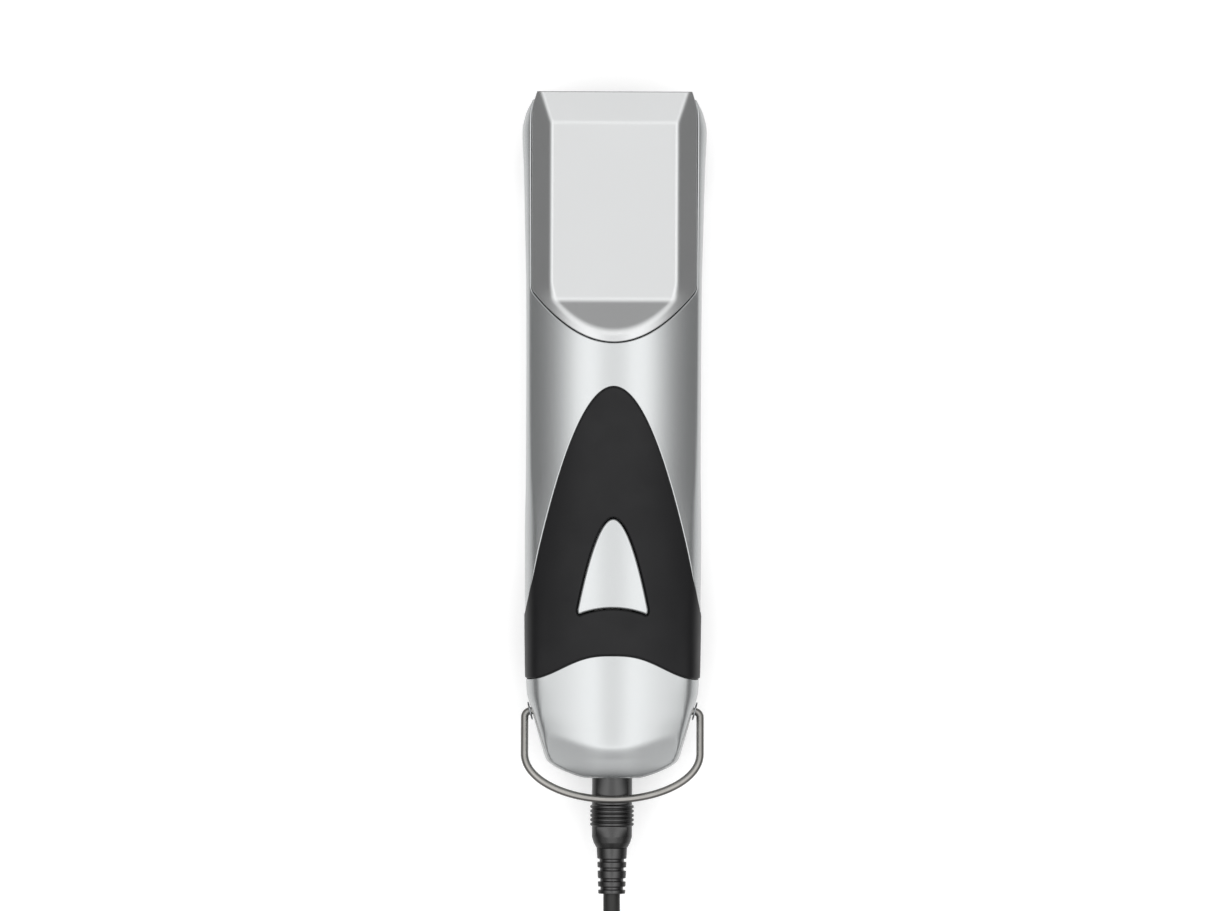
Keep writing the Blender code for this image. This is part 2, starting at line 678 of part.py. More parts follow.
def build_lever(looks):
    tail_y = GEAR_Y
    rear = prism("lever_rear", bar_outline((0.0, LEVER_Y, 3.6), (TAIL_PIN_X, tail_y, 2.8)), 25.0, 28.0)
    lever = prism("drive_lever", bar_outline((0.0, LEVER_Y, 4.4), (0.0, 73.0, 1.6)), 25.0, 28.0, looks["steel_dark"])
    unite(lever, rear, rod("lever_hub", 4.4, (0.0, LEVER_Y, 23.9), 6.1))
    unite(lever, rod("lever_tail_pin", 1.15, (TAIL_PIN_X, tail_y, 21.8), 4.0))
    cut(lever, rod("lever_hub_bore", 1.7, (0.0, LEVER_Y, 15.0), 30.0))
    set_origin(lever, (0.0, LEVER_Y, 26.0))
    rod("lever_pin", 1.35, (0.0, LEVER_Y, 7.8), 22.6, "Z", looks["steel"])
    tip = box("drive_tip", (-2.6, 71.6, 18.3), (2.6, 76.8, 29.4), looks["nylon"], 0.4)
    slot = prism("tip_pocket", bar_outline((0.0, 60.0, 1.95), (0.0, 73.0, 1.95)), 24.7, 28.3)
    cut(tip, slot)
    set_origin(tip, (0.0, LEVER_Y, 26.0))


def build_motor(looks):
    can = [
        (MOTOR_R, 42.0), (MOTOR_R, 0.0), (MOTOR_R - 1.2, 0.0), (MOTOR_R - 1.2, 40.4),
        (4.4, 40.4), (4.4, 42.0), (MOTOR_R, 42.0),
    ]
    turned("motor_can", can, (MOTOR_X, -32.0, MOTOR_Z), "Y", looks["can"], steps=32)
    bell = [
        (MOTOR_R - 0.4, 3.4), (MOTOR_R - 0.4, 1.2), (5.2, 1.2), (5.2, 0.0), (4.5, 0.0),
        (4.5, 3.4), (MOTOR_R - 0.4, 3.4),
    ]
    turned("motor_endbell", bell, (MOTOR_X, -35.7, MOTOR_Z), "Y", looks["black"], steps=32)
    ring("motor_bearing_rear", 1.4, 4.2, (MOTOR_X, -35.6, MOTOR_Z), 3.0, "Y", looks["steel"])
    ring("motor_bearing_front", 1.4, 4.1, (MOTOR_X, 7.4, MOTOR_Z), 2.6, "Y", looks["steel"])
    for name, turn in (("magnet_left", math.pi), ("magnet_right", 0.0)):
        arc = [turn - 1.05 + 2.1 * i / 12.0 for i in range(13)]
        outline = [(10.0 * math.cos(a), 10.0 * math.sin(a)) for a in arc]
        outline += [(7.9 * math.cos(a), 7.9 * math.sin(a)) for a in reversed(arc)]
        magnet = prism(name, outline, -18.0, 4.0, looks["ferrite"])
        magnet.matrix_world = Matrix.Translation(Vector((MOTOR_X, 0.0, MOTOR_Z)) * MM) @ AXES["Y"]
    outline = []
    for pole in range(5):
        middle = 2.0 * math.pi * pole / 5.0
        for turn, radius in ((-0.58, 3.4), (-0.20, 3.6), (-0.20, 5.9), (-0.56, 6.1)):
            outline.append((radius * math.cos(middle + turn), radius * math.sin(middle + turn)))
        for i in range(7):
            angle = middle - 0.56 + 1.12 * i / 6.0
            outline.append((7.4 * math.cos(angle), 7.4 * math.sin(angle)))
        for turn, radius in ((0.56, 6.1), (0.20, 5.9), (0.20, 3.6)):
            outline.append((radius * math.cos(middle + turn), radius * math.sin(middle + turn)))
    armature = prism("armature", outline, -17.0, 3.0, looks["steel_dark"])
    armature.matrix_world = Matrix.Translation(Vector((MOTOR_X, 0.0, MOTOR_Z)) * MM) @ AXES["Y"]
    cut(armature, rod("armature_bore", 1.35, (MOTOR_X, -40.0, MOTOR_Z), 60.0, "Y"))
    ring("commutator", 1.35, 3.4, (MOTOR_X, -26.5, MOTOR_Z), 7.0, "Y", looks["copper"])
    for i, sign in enumerate((-1.0, 1.0)):
        low, high = sorted((MOTOR_X + sign * 3.7, MOTOR_X + sign * 8.6))
        box(f"brush_{i + 1}", (low, -25.0, MOTOR_Z - 1.6), (high, -21.0, MOTOR_Z + 1.6), looks["carbon"])
    build_fan(looks)
    block = box("bearing_block", (-14.2, 38.6, 7.3), (14.2, 42.4, 23.4), looks["die_cast"], 0.5)
    cut(block, rod("block_bore", 3.6, (MOTOR_X, 30.0, MOTOR_Z), 20.0, "Y"))
    ring("shaft_bearing", 1.4, 3.3, (MOTOR_X, 38.9, MOTOR_Z), 3.2, "Y", looks["brass"])


def build_fan(looks):
    fan = ring("cooling_fan", 1.4, 8.8, (MOTOR_X, 10.8, MOTOR_Z), 1.0, "Y", looks["black"])
    for i in range(8):
        vane = box(f"fan_vane_{i}", (2.6, -0.35, 0.6), (8.6, 0.35, 4.4))
        turn = Matrix.Rotation(2.0 * math.pi * i / 8.0, 4, "Z")
        vane.matrix_world = fan.matrix_world @ turn
        unite(fan, vane)
    hub = ring("fan_hub", 1.4, 3.2, (MOTOR_X, 11.2, MOTOR_Z), 4.0, "Y")
    unite(fan, hub)


# ---------------------------------------------------------------------------------------------- switch and board


def build_switch(looks):
    button = body_solid("power_button", BUTTON_PROUD, look=looks["silver"])
    keep(button, prism("button_area", button_outline(0.0), 32.2, 60.0))
    unite(button, prism("button_flange", button_outline(1.1), 31.3, 32.4))
    bevel = button.modifiers.new("round edges", "BEVEL")
    bevel.width = 0.35 * MM
    bevel.segments = 2
    bevel.limit_method = "ANGLE"
    bevel.angle_limit = math.radians(50.0)
    set_origin(button, (0.0, -34.0, 36.0))
    body = box("switch_body", (-5.0, -46.0, 21.8), (5.0, -37.0, 28.0), looks["black"], 0.4)
    cut(body, rod("plunger_bore", 2.3, (0.0, -41.5, 24.0), 10.0))
    stem = [(0.0, 5.0), (1.6, 5.0), (2.0, 4.6), (2.0, 0.0), (0.0, 0.0)]
    turned("switch_plunger", stem, (0.0, -41.5, 26.0), look=looks["nylon"], steps=16)
    coil_spring("button_spring", (0.0, -41.5, 28.3), 3.1, 0.25, 2.7, 3, "Z", looks["steel"])
    box("circuit_board", (-12.5, -66.5, 20.1), (12.5, -36.6, 21.5), looks["board"])
    socket = box("dc_socket", (-5.3, -82.0, LEAD_Z - 5.6), (5.3, -69.5, LEAD_Z + 5.6), looks["black"], 0.4)
    cut(socket, rod("socket_bore", 3.1, (0.0, -90.0, LEAD_Z), 19.4, "Y"))


# ---------------------------------------------------------------------------------------------- hanging loop


def loop_point(x, depth):
    return (x, LOOP_PIVOT_Y - depth * math.cos(LOOP_TILT), LOOP_PIVOT_Z + depth * math.sin(LOOP_TILT))


def build_loop(looks):
    """Bent wire: an end through each side of the housing, a tight bend, an arm and a rounded bow."""
    bend = 1.6
    half = [(16.8, 0.0), (19.4, 0.0)]
    for i in range(7):
        angle = math.pi / 2.0 * i / 6.0
        half.append((LOOP_HALF - bend + bend * math.sin(angle), bend - bend * math.cos(angle)))
    half.append((LOOP_HALF, 7.0))
    bow = 11.1
    for i in range(15):
        angle = math.pi / 2.0 * i / 14.0
        half.append((LOOP_HALF * math.cos(angle), bow + (LOOP_DEPTH - bow) * math.sin(angle)))
    route = [loop_point(x, d) for x, d in half]
    route += [(-x, y, z) for x, y, z in reversed(route[:-1])]
    loop = tube("hanging_loop", route, LOOP_WIRE_R, looks["wire"])
    set_origin(loop, (0.0, LOOP_PIVOT_Y, LOOP_PIVOT_Z))
    lean = math.radians(14.5)
    for name, sign in (("loop_washer_left", -1.0), ("loop_washer_right", 1.0)):
        washer = ring(name, LOOP_WIRE_R + 0.35, 2.3, (0.0, 0.0, 0.0), 0.4, "X", looks["steel"])
        place_at = Vector((sign * 20.65 - 0.2, LOOP_PIVOT_Y, LOOP_PIVOT_Z)) * MM
        washer.matrix_world = Matrix.Translation(place_at) @ Matrix.Rotation(-sign * lean, 4, "Z") @ AXES["X"]


# ---------------------------------------------------------------------------------------------- lead and adapter


def build_connector(looks):
    profile = [(0.0, -71.0), (2.7, -71.0), (2.7, -82.6), (5.05, -82.6), (5.05, -92.9)]
    for i in range(5):
        start = -92.9 - 1.1 * i
        profile += [(5.5, start - 0.15), (5.5, start - 0.75), (5.2, start - 0.95)]
    profile += [(5.0, -98.6), (5.0, -100.9), (4.6, -102.4), (3.9, -103.7), (0.0, -103.7)]
    turned("cord_connector", profile, (0.0, 0.0, LEAD_Z), "Y", looks["black"], steps=24)
    relief = [(LEAD_R + GAP, -104.0), (3.75, -104.0)]
    for start in (-106.4, -108.6, -111.3, -113.4):
        radius = 3.75 - 0.35 * (-104.0 - start) / 11.0
        relief += [(radius, start), (radius - 0.6, start - 0.1), (radius - 0.6, start - 0.7), (radius, start - 0.8)]
    relief += [(3.38, -115.2), (LEAD_R + GAP, -115.2), (LEAD_R + GAP, -104.0)]
    turned("cord_strain_relief", relief, (0.0, 0.0, LEAD_Z), "Y", looks["black"], steps=20)


def smooth_route(route, step):
    """Catmull-Rom through hand-chosen points, resampled at about the given step in millimetres."""
    ends = [Vector(place) for place in route]
    ends = [2 * ends[0] - ends[1], *ends, 2 * ends[-1] - ends[-2]]
    dense = []
    for i in range(1, len(ends) - 2):
        a, b, c, d = ends[i - 1 : i + 3]
        for k in range(24):
            t = k / 24.0
            square = 2 * a - 5 * b + 4 * c - d
            cube = 3 * b - a - 3 * c + d
            dense.append(0.5 * (2 * b + (c - a) * t + square * t**2 + cube * t**3))
    dense.append(ends[-2])
    points, run = [dense[0]], 0.0
    for before, after in zip(dense, dense[1:]):
        run += (after - before).length
        if run >= step:
            points.append(after)
            run = 0.0
    if (points[-1] - dense[-1]).length < 0.5 * step:
        points.pop()
    return points + [dense[-1]]


LEAD_ROUTE = [
    (0.0, -104.1, 19.0),
    (0.0, -112.0, 19.0),
    (0.0, -119.5, 18.7),
    (0.4, -127.0, 16.2),
    (1.4, -134.5, 11.4),
    (3.6, -142.5, 6.0),
    (8.0, -151.0, 2.8),
    (13.5, -160.5, 2.2),
    (18.2, -171.0, 2.2),
]
TAIL_ROUTE = [(0.0, -257.2, 6.6), (0.0, -261.0, 7.8), (0.0, -266.0, 9.6), (0.0, -271.6, 11.0)]


def hank_outline(grow):
    radius = HANK_R + grow
    near, far = HANK_START_Y - HANK_R, HANK_START_Y - HANK_R - HANK_STRAIGHT
    outline = []
    for centre, start in ((near, 0.0), (far, math.pi)):
        for i in range(17):
            angle = start + math.pi * i / 16.0
            outline.append((radius * math.cos(angle), centre + radius * math.sin(angle)))
    return outline


def build_lead(looks):
    hank = prism("cord_hank", hank_outline(0.0), 0.0, HANK_HEIGHT, looks["cord"])
    bevel = hank.modifiers.new("round edges", "BEVEL")
    bevel.width = 1.8 * MM
    bevel.segments = 3
    bevel.limit_method = "ANGLE"
    bevel.angle_limit = math.radians(60.0)
    tube("cord_lead", smooth_route(LEAD_ROUTE[:-2] + [(9.6, -159.0, 2.2)], 9.0), LEAD_R, looks["cord"])
    tube("cord_tail", smooth_route(TAIL_ROUTE, 6.0), LEAD_R, looks["cord"])
    middle = HANK_START_Y - HANK_R - HANK_STRAIGHT / 2.0
    reach = HANK_R + 1.5
    band = box("hank_tie", (-reach, middle - 6.0, 0.0), (reach, middle + 6.0, HANK_HEIGHT + 1.5), looks["strap"])
    cut(band, box("tie_room", (-HANK_R - GAP, middle - 9.0, -3.0), (HANK_R + GAP, middle + 9.0, HANK_HEIGHT + GAP)))


def build_adapter(looks):
    body = box("adapter_body", (-20.0, ADAPTER_Y - 8.0 - 52.0, 0.0), (20.0, ADAPTER_Y - 8.0, 27.0), looks["black"])
    bevel = body.modifiers.new("round edges", "BEVEL")
    bevel.width = 3.0 * MM
    bevel.segments = 3
    relief = [(2.5, 7.7), (3.1, 7.7), (4.2, 0.6), (4.2, 0.0), (2.5, 0.0), (2.5, 7.7)]
    turned("adapter_strain_relief", relief, (0.0, ADAPTER_Y - 7.7, 11.0), "Y", looks["black"], steps=24)
    for i, x in enumerate((-6.35, 6.35)):
        low = (x - 0.75, ADAPTER_Y - 60.3 - 17.0, 10.35)
        box(f"adapter_pin_{i + 1}", low, (x + 0.75, ADAPTER_Y - 60.3, 16.65), looks["brass"])


def make_looks():
    return {
        "silver": material("silver_paint", (0.80, 0.81, 0.81), 0.28, 0.85),
        "silver_rear": material("silver_paint_rear", (0.78, 0.79, 0.79), 0.30, 0.85),
        "plate": material("plate_metal", (0.85, 0.86, 0.86), 0.30, 0.9),
        "rubber": material("soft_grip", (0.15, 0.15, 0.16), 0.62),
        "black": material("black_plastic", (0.12, 0.12, 0.12), 0.45),
        "cord": material("cord_jacket", (0.10, 0.10, 0.10), 0.5),
        "strap": material("hook_loop_strap", (0.16, 0.16, 0.17), 0.9),
        "steel": material("steel", (0.72, 0.73, 0.74), 0.25, 1.0),
        "steel_dark": material("steel_dark", (0.52, 0.53, 0.55), 0.35, 1.0),
        "wire": material("stainless_wire", (0.74, 0.73, 0.72), 0.22, 1.0),
        "can": material("zinc_plated_can", (0.66, 0.67, 0.68), 0.35, 1.0),
        "die_cast": material("die_cast", (0.60, 0.61, 0.62), 0.5, 0.9),
        "ferrite": material("ferrite", (0.20, 0.20, 0.22), 0.7),
        "copper": material("copper", (0.80, 0.50, 0.36), 0.35, 1.0),
        "carbon": material("carbon", (0.14, 0.14, 0.14), 0.8),
        "brass": material("brass", (0.80, 0.68, 0.42), 0.3, 1.0),
        "nylon": material("nylon", (0.90, 0.89, 0.84), 0.5),
        "board": material("board", (0.12, 0.35, 0.20), 0.55),
    }


def main():
    clear_scene()
    make_collections()
    looks = make_looks()
    tools = shared_cutters()
    build_front_shell(looks, tools)
    build_rear_shell(looks, tools)
    build_cover(looks)
    build_grips(looks, tools)
    build_screws(looks)
    build_hinge(looks)
    build_latch(looks)
    build_shaft(looks)
    build_gear(looks)
    build_link(looks)
    build_lever(looks)
    build_motor(looks)
    build_switch(looks)
    build_loop(looks)
    build_connector(looks)
    build_lead(looks)
    build_adapter(looks)


main()
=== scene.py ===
"""Looks of the corded pet clipper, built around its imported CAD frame.

Lengths are in millimetres until a mesh or a curve is made. +Y is the head's end and +Z is up. Each half of the
housing has one analytic sheet as its outside, and its visible pieces are tiles cut from that sheet.
"""

import math

import bpy
import numpy as np
from mathutils import Matrix, Vector
from mathutils.geometry import delaunay_2d_cdt


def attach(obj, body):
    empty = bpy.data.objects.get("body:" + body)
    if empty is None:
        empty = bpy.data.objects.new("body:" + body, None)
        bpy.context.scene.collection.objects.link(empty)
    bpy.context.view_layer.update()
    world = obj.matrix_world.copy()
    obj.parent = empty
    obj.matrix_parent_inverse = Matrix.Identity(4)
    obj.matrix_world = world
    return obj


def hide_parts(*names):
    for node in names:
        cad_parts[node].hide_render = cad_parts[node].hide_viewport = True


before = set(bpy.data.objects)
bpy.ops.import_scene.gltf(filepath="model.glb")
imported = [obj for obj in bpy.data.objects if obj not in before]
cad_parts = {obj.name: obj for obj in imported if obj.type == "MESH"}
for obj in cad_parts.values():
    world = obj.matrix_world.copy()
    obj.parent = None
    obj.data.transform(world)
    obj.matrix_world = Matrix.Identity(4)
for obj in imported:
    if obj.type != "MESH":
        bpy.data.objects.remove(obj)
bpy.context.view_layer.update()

MM = 0.001

# Camera: straight above the clipper, with the head at the top of the picture.
LENS = 300.0
CAMERA_PLACE = (-1.6, -5.3, 2557.0)
CAMERA_ROLL = math.radians(0.22)

# Studio: a tent by (degrees from straight up, brightness), and softboxes by (how far aside, brightness).
TENT = [
    (0.0, 0.74), (10.0, 0.78), (18.0, 0.92), (27.0, 0.90), (32.0, 0.82),
    (40.0, 0.60), (53.0, 0.255), (64.0, 0.165), (83.0, 0.105), (92.0, 0.115),
    (104.0, 0.22), (120.0, 0.42), (150.0, 0.62), (180.0, 0.70),
]
SOFTBOXES = [
    (0.0, 0.0), (0.12, 0.0), (0.25, 0.10), (0.36, 0.10), (0.53, 0.12),
    (0.64, 0.20), (0.80, 0.18), (0.92, 0.05), (1.0, 0.0),
]
SOFTBOX_RISE = 0.35

# Floor and fill lamp, in metres.
FLOOR_R = 4.0
FLOOR_Z = -0.00006
FLOOR_GLOW = 0.35
FILL_SIZE = 2.6
FILL_HEIGHT = 2.2
FILL_ENERGY = 30.0

# Housing: stations along Y as (y, half width at seam, shoulder x, shoulder height, top height, bottom height).
STATIONS = [
    (-85.8, 7.4, 6.6, 32.4, 33.4, 11.5),
    (-85.2, 9.6, 8.6, 32.6, 34.1, 9.4),
    (-84.2, 12.4, 11.0, 32.5, 34.7, 7.0),
    (-82.9, 15.0, 13.0, 32.5, 35.3, 4.6),
    (-81.4, 16.6, 14.6, 32.6, 35.9, 2.8),
    (-77.8, 17.8, 15.9, 33.0, 37.2, 0.6),
    (-74.0, 18.9, 16.8, 32.7, 37.4, 0.0),
    (-69.4, 20.1, 17.8, 32.5, 37.4, 0.0),
    (-64.4, 21.5, 18.2, 32.4, 37.5, 0.0),
    (-56.0, 21.8, 18.6, 32.4, 37.5, 0.0),
    (-25.0, 22.1, 19.0, 31.4, 37.5, 0.0),
    (-8.0, 21.9, 20.4, 29.2, 37.5, 0.0),
    (10.0, 21.9, 20.8, 28.9, 37.5, 0.0),
    (36.0, 22.0, 20.9, 28.9, 37.5, 0.0),
    (50.0, 22.3, 20.9, 28.9, 37.5, 0.0),
    (66.0, 22.7, 21.0, 28.9, 37.5, 0.0),
    (75.8, 23.1, 21.0, 28.9, 37.5, 0.0),
    (80.0, 22.4, 20.9, 28.9, 37.5, 0.0),
    (83.4, 21.1, 20.0, 29.0, 37.4, 0.0),
    (85.8, 19.9, 19.2, 29.2, 37.4, 0.0),
]
TAIL_Y = -85.8
NOSE_Y = 85.8
SEAM_Z = 21.0

# End cap: a bowed crease, behind which the crown falls away at one slope, and flattened flanks.
END_CREASE_Y = -77.8
CREASE_BOW = 0.0195
END_SLOPE = 0.40
END_SLOPE_HALF = 27.0
END_DOME = 69.6
END_FACE_HALF = 18.2
END_CAP_Y = -50.0
END_CAP_BLEND = 10.0
END_CAP_SINK = 0.0035 / 15.0
FLANK_TURN_X = 15.4

# Tiles: the gap that each leaves at its edges, its rounded rim and how deep it goes.
EDGE_GAP = 0.13
SHELL_RIM = 0.30
SHELL_DEPTH = 0.62
CORE_DEPTH = 0.5
GRID = 0.8
RIM_STEPS = 5

# Moulding under the tiles: how near the CAD shell's outside a point counts as on it, and how much deeper it
# goes under the end cap.
ON_OUTSIDE = 0.42
END_CAP_SPREAD = 0.6
END_CAP_DEEPER = 1.4

# Head cover.
PLATE_Z = 33.4
PLATE_HALF = 15.8
SKIRT_HALF = 20.9
SKIRT_SLOPE = 0.863
FACET_TOP_Y = 25.4
FACET_SLOPE = 0.5
TIP_BEVEL_Y = 77.6
TIP_SLOPE = 0.28
SEAM_APEX_Y = 22.9
SEAM_BOW_R = 33.0
SEAM_BOW_HALF = 20.3
SHOULDER_Y = 36.8
SKIRT_START_Y = 33.6
SKIRT_BLEND = 5.0
CROWN_Z = 37.5
DOME_R = 29.7

# Grip and button outlines.
GRIP_APEX_Y = 11.8
GRIP_END_Y = -55.06
GRIP_END_DROP = 6.05
GRIP_HALF = 22.2
GRIP_WAVE_HALF = 21.7
GRIP_PROUD = 0.25
GRIP_RIM = 0.42
BUTTON_APEX_Y = -21.06
BUTTON_HALF = 8.75
BUTTON_FOOT_Y = -43.3
BUTTON_PROUD = 0.6
BUTTON_ROOM = 0.34

# Screws and latch slot in the back.
HEAD_SCREW = (16.9, 46.0)
TAIL_SCREW = (11.5, -72.5)
SCREW_HOLE_R = 2.85
LATCH_HALF = 6.3
LATCH_SLOT_Y = 41.0

# Blade mouth: a plane that climbs from the back of the head to the nose.
MOUTH_Y = 57.0
MOUTH_RUN = 28.8 / 30.0

# Hanging loop.
LOOP_PIVOT_Y = -69.4
LOOP_PIVOT_Z = 18.5
LOOP_TILT = math.radians(17.0)
LOOP_WIRE_R = 0.95
LOOP_HALF = 22.0
LOOP_DEPTH = 23.0

# Lead and adapter.
LEAD_Z = 19.0
LEAD_R = 2.1
HANK_NEAR_Y = -183.1
HANK_FAR_Y = -233.1
HANK_LANES = (12.6, 16.8, 21.0)
HANK_LAYER = 4.3
ADAPTER_Y = -280.0
ADAPTER_LENGTH = 52.0
ADAPTER_HALF = 20.0
ADAPTER_HEIGHT = 27.0
SUPPLY_LEAD_Z = 11.0
SUPPLY_PIN_X = 6.35

LEAD_ROUTE = [
    (0.0, -104.1, 19.0), (0.0, -112.0, 19.0), (0.0, -119.5, 18.7), (0.4, -127.0, 16.2),
    (1.4, -134.5, 11.4), (3.6, -142.5, 6.0), (8.0, -151.0, 2.8), (13.5, -160.5, 2.2),
    (18.2, -171.0, 2.2),
]
TAIL_ROUTE = [
    (18.6, -243.0, 6.45), (14.0, -249.4, 6.45), (8.2, -253.4, 6.6), (3.4, -256.8, 7.0),
    (0.8, -261.2, 7.9), (0.0, -266.4, 9.4), (0.0, -271.8, 10.9),
]


# ---- materials


def linear(colour):
    return tuple(((c + 0.055) / 1.055) ** 2.4 if c > 0.04045 else c / 12.92 for c in colour)


def set_inputs(node, values):
    for name, value in values.items():
        node.inputs[name].default_value = value


class Finish:
    """A procedural surface: mottled colour, uneven gloss and fine relief, all in object coordinates."""

    def __init__(self, name, colour, roughness, metallic=0.0):
        self.material = bpy.data.materials.new(name)
        self.material.use_nodes = True
        self.tree = self.material.node_tree
        self.shader = self.tree.nodes["Principled BSDF"]
        set_inputs(self.shader, {"Metallic": metallic})
        self.colour = linear(colour)
        self.roughness = roughness
        self.relief = None
        self.place = self.tree.nodes.new("ShaderNodeTexCoord").outputs["Object"]

    def link(self, out, into):
        self.tree.links.new(out, into)

    def stretched(self, scale):
        """Object coordinates scaled along each axis, for brushed or drawn surfaces."""
        mapping = self.tree.nodes.new("ShaderNodeMapping")
        set_inputs(mapping, {"Scale": scale})
        self.link(self.place, mapping.inputs["Vector"])
        return mapping.outputs["Vector"]

    def noise(self, grain_mm, detail=3.0, place=None):
        """Noise whose blotches are about grain_mm wide."""
        node = self.tree.nodes.new("ShaderNodeTexNoise")
        set_inputs(node, {"Scale": 1000.0 / grain_mm, "Detail": detail})
        self.link(place or self.place, node.inputs["Vector"])
        return node.outputs["Fac"]

    def spread(self, value, low, high):
        node = self.tree.nodes.new("ShaderNodeMapRange")
        set_inputs(node, {"From Min": 0.3, "From Max": 0.7, "To Min": low, "To Max": high})
        self.link(value, node.inputs["Value"])
        return node.outputs["Result"]

    def mottle(self, value, amount):
        """Colour that is darker and lighter by amount where value is low and high."""
        ramp = self.tree.nodes.new("ShaderNodeValToRGB")
        stops = ((0.3, 1 - amount), (0.7, 1 + amount))
        for element, (place, share) in zip(ramp.color_ramp.elements, stops):
            element.position = place
            element.color = (*(min(1.0, c * share) for c in self.colour), 1.0)
        self.link(value, ramp.inputs["Fac"])
        self.link(ramp.outputs["Color"], self.shader.inputs["Base Color"])
        return self

    def gloss(self, value, amount):
        low, high = self.roughness - amount, self.roughness + amount
        self.link(self.spread(value, low, high), self.shader.inputs["Roughness"])
        return self

    def bump(self, value, height_mm):
        node = self.tree.nodes.new("ShaderNodeBump")
        set_inputs(node, {"Strength": 1.0, "Distance": height_mm * MM})
        self.link(value, node.inputs["Height"])
        if self.relief:
            self.link(self.relief, node.inputs["Normal"])
        self.relief = node.outputs["Normal"]
        self.link(self.relief, self.shader.inputs["Normal"])
        return self

    def sheen(self, weight):
        set_inputs(self.shader, {"Sheen Weight": weight, "Sheen Roughness": 0.4})
        return self


def paint(name, colour, roughness):
    """Silver paint on moulded plastic: fine flake, a faint orange peel and a slightly uneven gloss."""
    made = Finish(name, colour, roughness, 0.9)
    made.mottle(made.noise(0.16, 2.0), 0.05)
    made.gloss(made.noise(24.0, 3.0), 0.012)
    made.bump(made.noise(0.35, 1.0), 0.0004)
    return made.material


def moulded(name, colour, roughness, texture_mm=0.25, height=0.004, sheen=0.0, index=1.5):
    """Spark-textured plastic or rubber."""
    made = Finish(name, colour, roughness)
    set_inputs(made.shader, {"IOR": index})
    made.mottle(made.noise(6.0, 5.0), 0.10)
    made.gloss(made.noise(9.0, 4.0), 0.05)
    made.bump(made.noise(texture_mm, 2.0), height)
    return made.sheen(sheen).material


def metal(name, colour, roughness, stretch=(1.0, 1.0, 1.0), height=0.0015):
    """Machined, drawn or brushed metal. The stretch is small along the grain."""
    made = Finish(name, colour, roughness, 1.0)
    grain = made.noise(0.35, 3.0, made.stretched(stretch))
    made.mottle(made.noise(3.0, 4.0), 0.05)
    made.gloss(grain, 0.06)
    made.bump(grain, height)
    return made.material


def woven(name, colour, pitch_mm):
    """Hook-and-loop webbing: two crossing sets of threads with fuzz."""
    made = Finish(name, colour, 0.85)
    for axis in ("X", "Y"):
        wave = made.tree.nodes.new("ShaderNodeTexWave")
        wave.bands_direction = axis
        set_inputs(wave, {"Scale": 1000.0 / pitch_mm / 6.3, "Distortion": 0.6})
        made.link(made.place, wave.inputs["Vector"])
        made.bump(wave.outputs["Fac"], 0.09)
    made.mottle(made.noise(0.5, 4.0), 0.35)
    made.bump(made.noise(0.18, 3.0), 0.03)
    made.gloss(made.noise(2.0), 0.05)
    return made.sheen(0.5).material


def make_looks():
    return {
        "silver": paint("silver_paint", (0.925, 0.935, 0.938), 0.23),
        "silver_rear": paint("silver_paint_rear", (0.91, 0.92, 0.925), 0.25),
        "plate": paint("plate_paint", (0.95, 0.955, 0.957), 0.21),
        "rubber": moulded("soft_grip", (0.060, 0.060, 0.069), 0.50, 0.22, 0.003, 0.06),
        "black": moulded("black_plastic", (0.05, 0.05, 0.05), 0.20, 0.3, 0.002, index=2.1),
        "inner": moulded("inner_plastic", (0.20, 0.20, 0.21), 0.5, 0.3, 0.006),
        "cord": moulded("cord_jacket", (0.16, 0.16, 0.155), 0.40, 0.5, 0.004, 0.1),
        "strap": woven("hook_loop_strap", (0.16, 0.16, 0.17), 0.9),
        "steel": metal("steel", (0.72, 0.73, 0.74), 0.26),
        "steel_dark": metal("steel_dark", (0.55, 0.56, 0.58), 0.32, (1.0, 0.12, 1.0)),
        "wire": metal("stainless_wire", (0.76, 0.75, 0.735), 0.18, (1.0, 1.0, 1.0), 0.0008),
        "can": metal("zinc_plated_can", (0.66, 0.67, 0.68), 0.35),
        "die_cast": metal("die_cast", (0.60, 0.61, 0.62), 0.5, height=0.006),
        "ferrite": moulded("ferrite", (0.20, 0.20, 0.22), 0.7),
        "copper": metal("copper", (0.85, 0.55, 0.42), 0.3, (0.1, 1.0, 1.0)),
        "carbon": moulded("carbon", (0.14, 0.14, 0.14), 0.8),
        "brass": metal("nickel_brass", (0.82, 0.76, 0.62), 0.25, (1.0, 0.1, 1.0)),
        "nylon": moulded("nylon", (0.90, 0.89, 0.84), 0.45),
        "board": moulded("board", (0.10, 0.33, 0.20), 0.45, 0.8, 0.01),
    }


LOOKS = make_looks()


# ---- stage


def new_object(name, data):
    obj = bpy.data.objects.new(name, data)
    bpy.context.scene.collection.objects.link(obj)
    return obj


def make_camera():
    camera = new_object("camera", bpy.data.cameras.new("camera"))
    camera.data.lens = LENS
    camera.data.sensor_width = 36.0
    camera.location = Vector(CAMERA_PLACE) * MM
    camera.rotation_euler.z = CAMERA_ROLL
    bpy.context.scene.camera = camera


def math_node(tree, operation, *values):
    node = tree.nodes.new("ShaderNodeMath")
    node.operation = operation
    for socket, value in zip(node.inputs, values):
        if isinstance(value, float):
            socket.default_value = value
        else:
            tree.links.new(value, socket)
    return node.outputs["Value"]


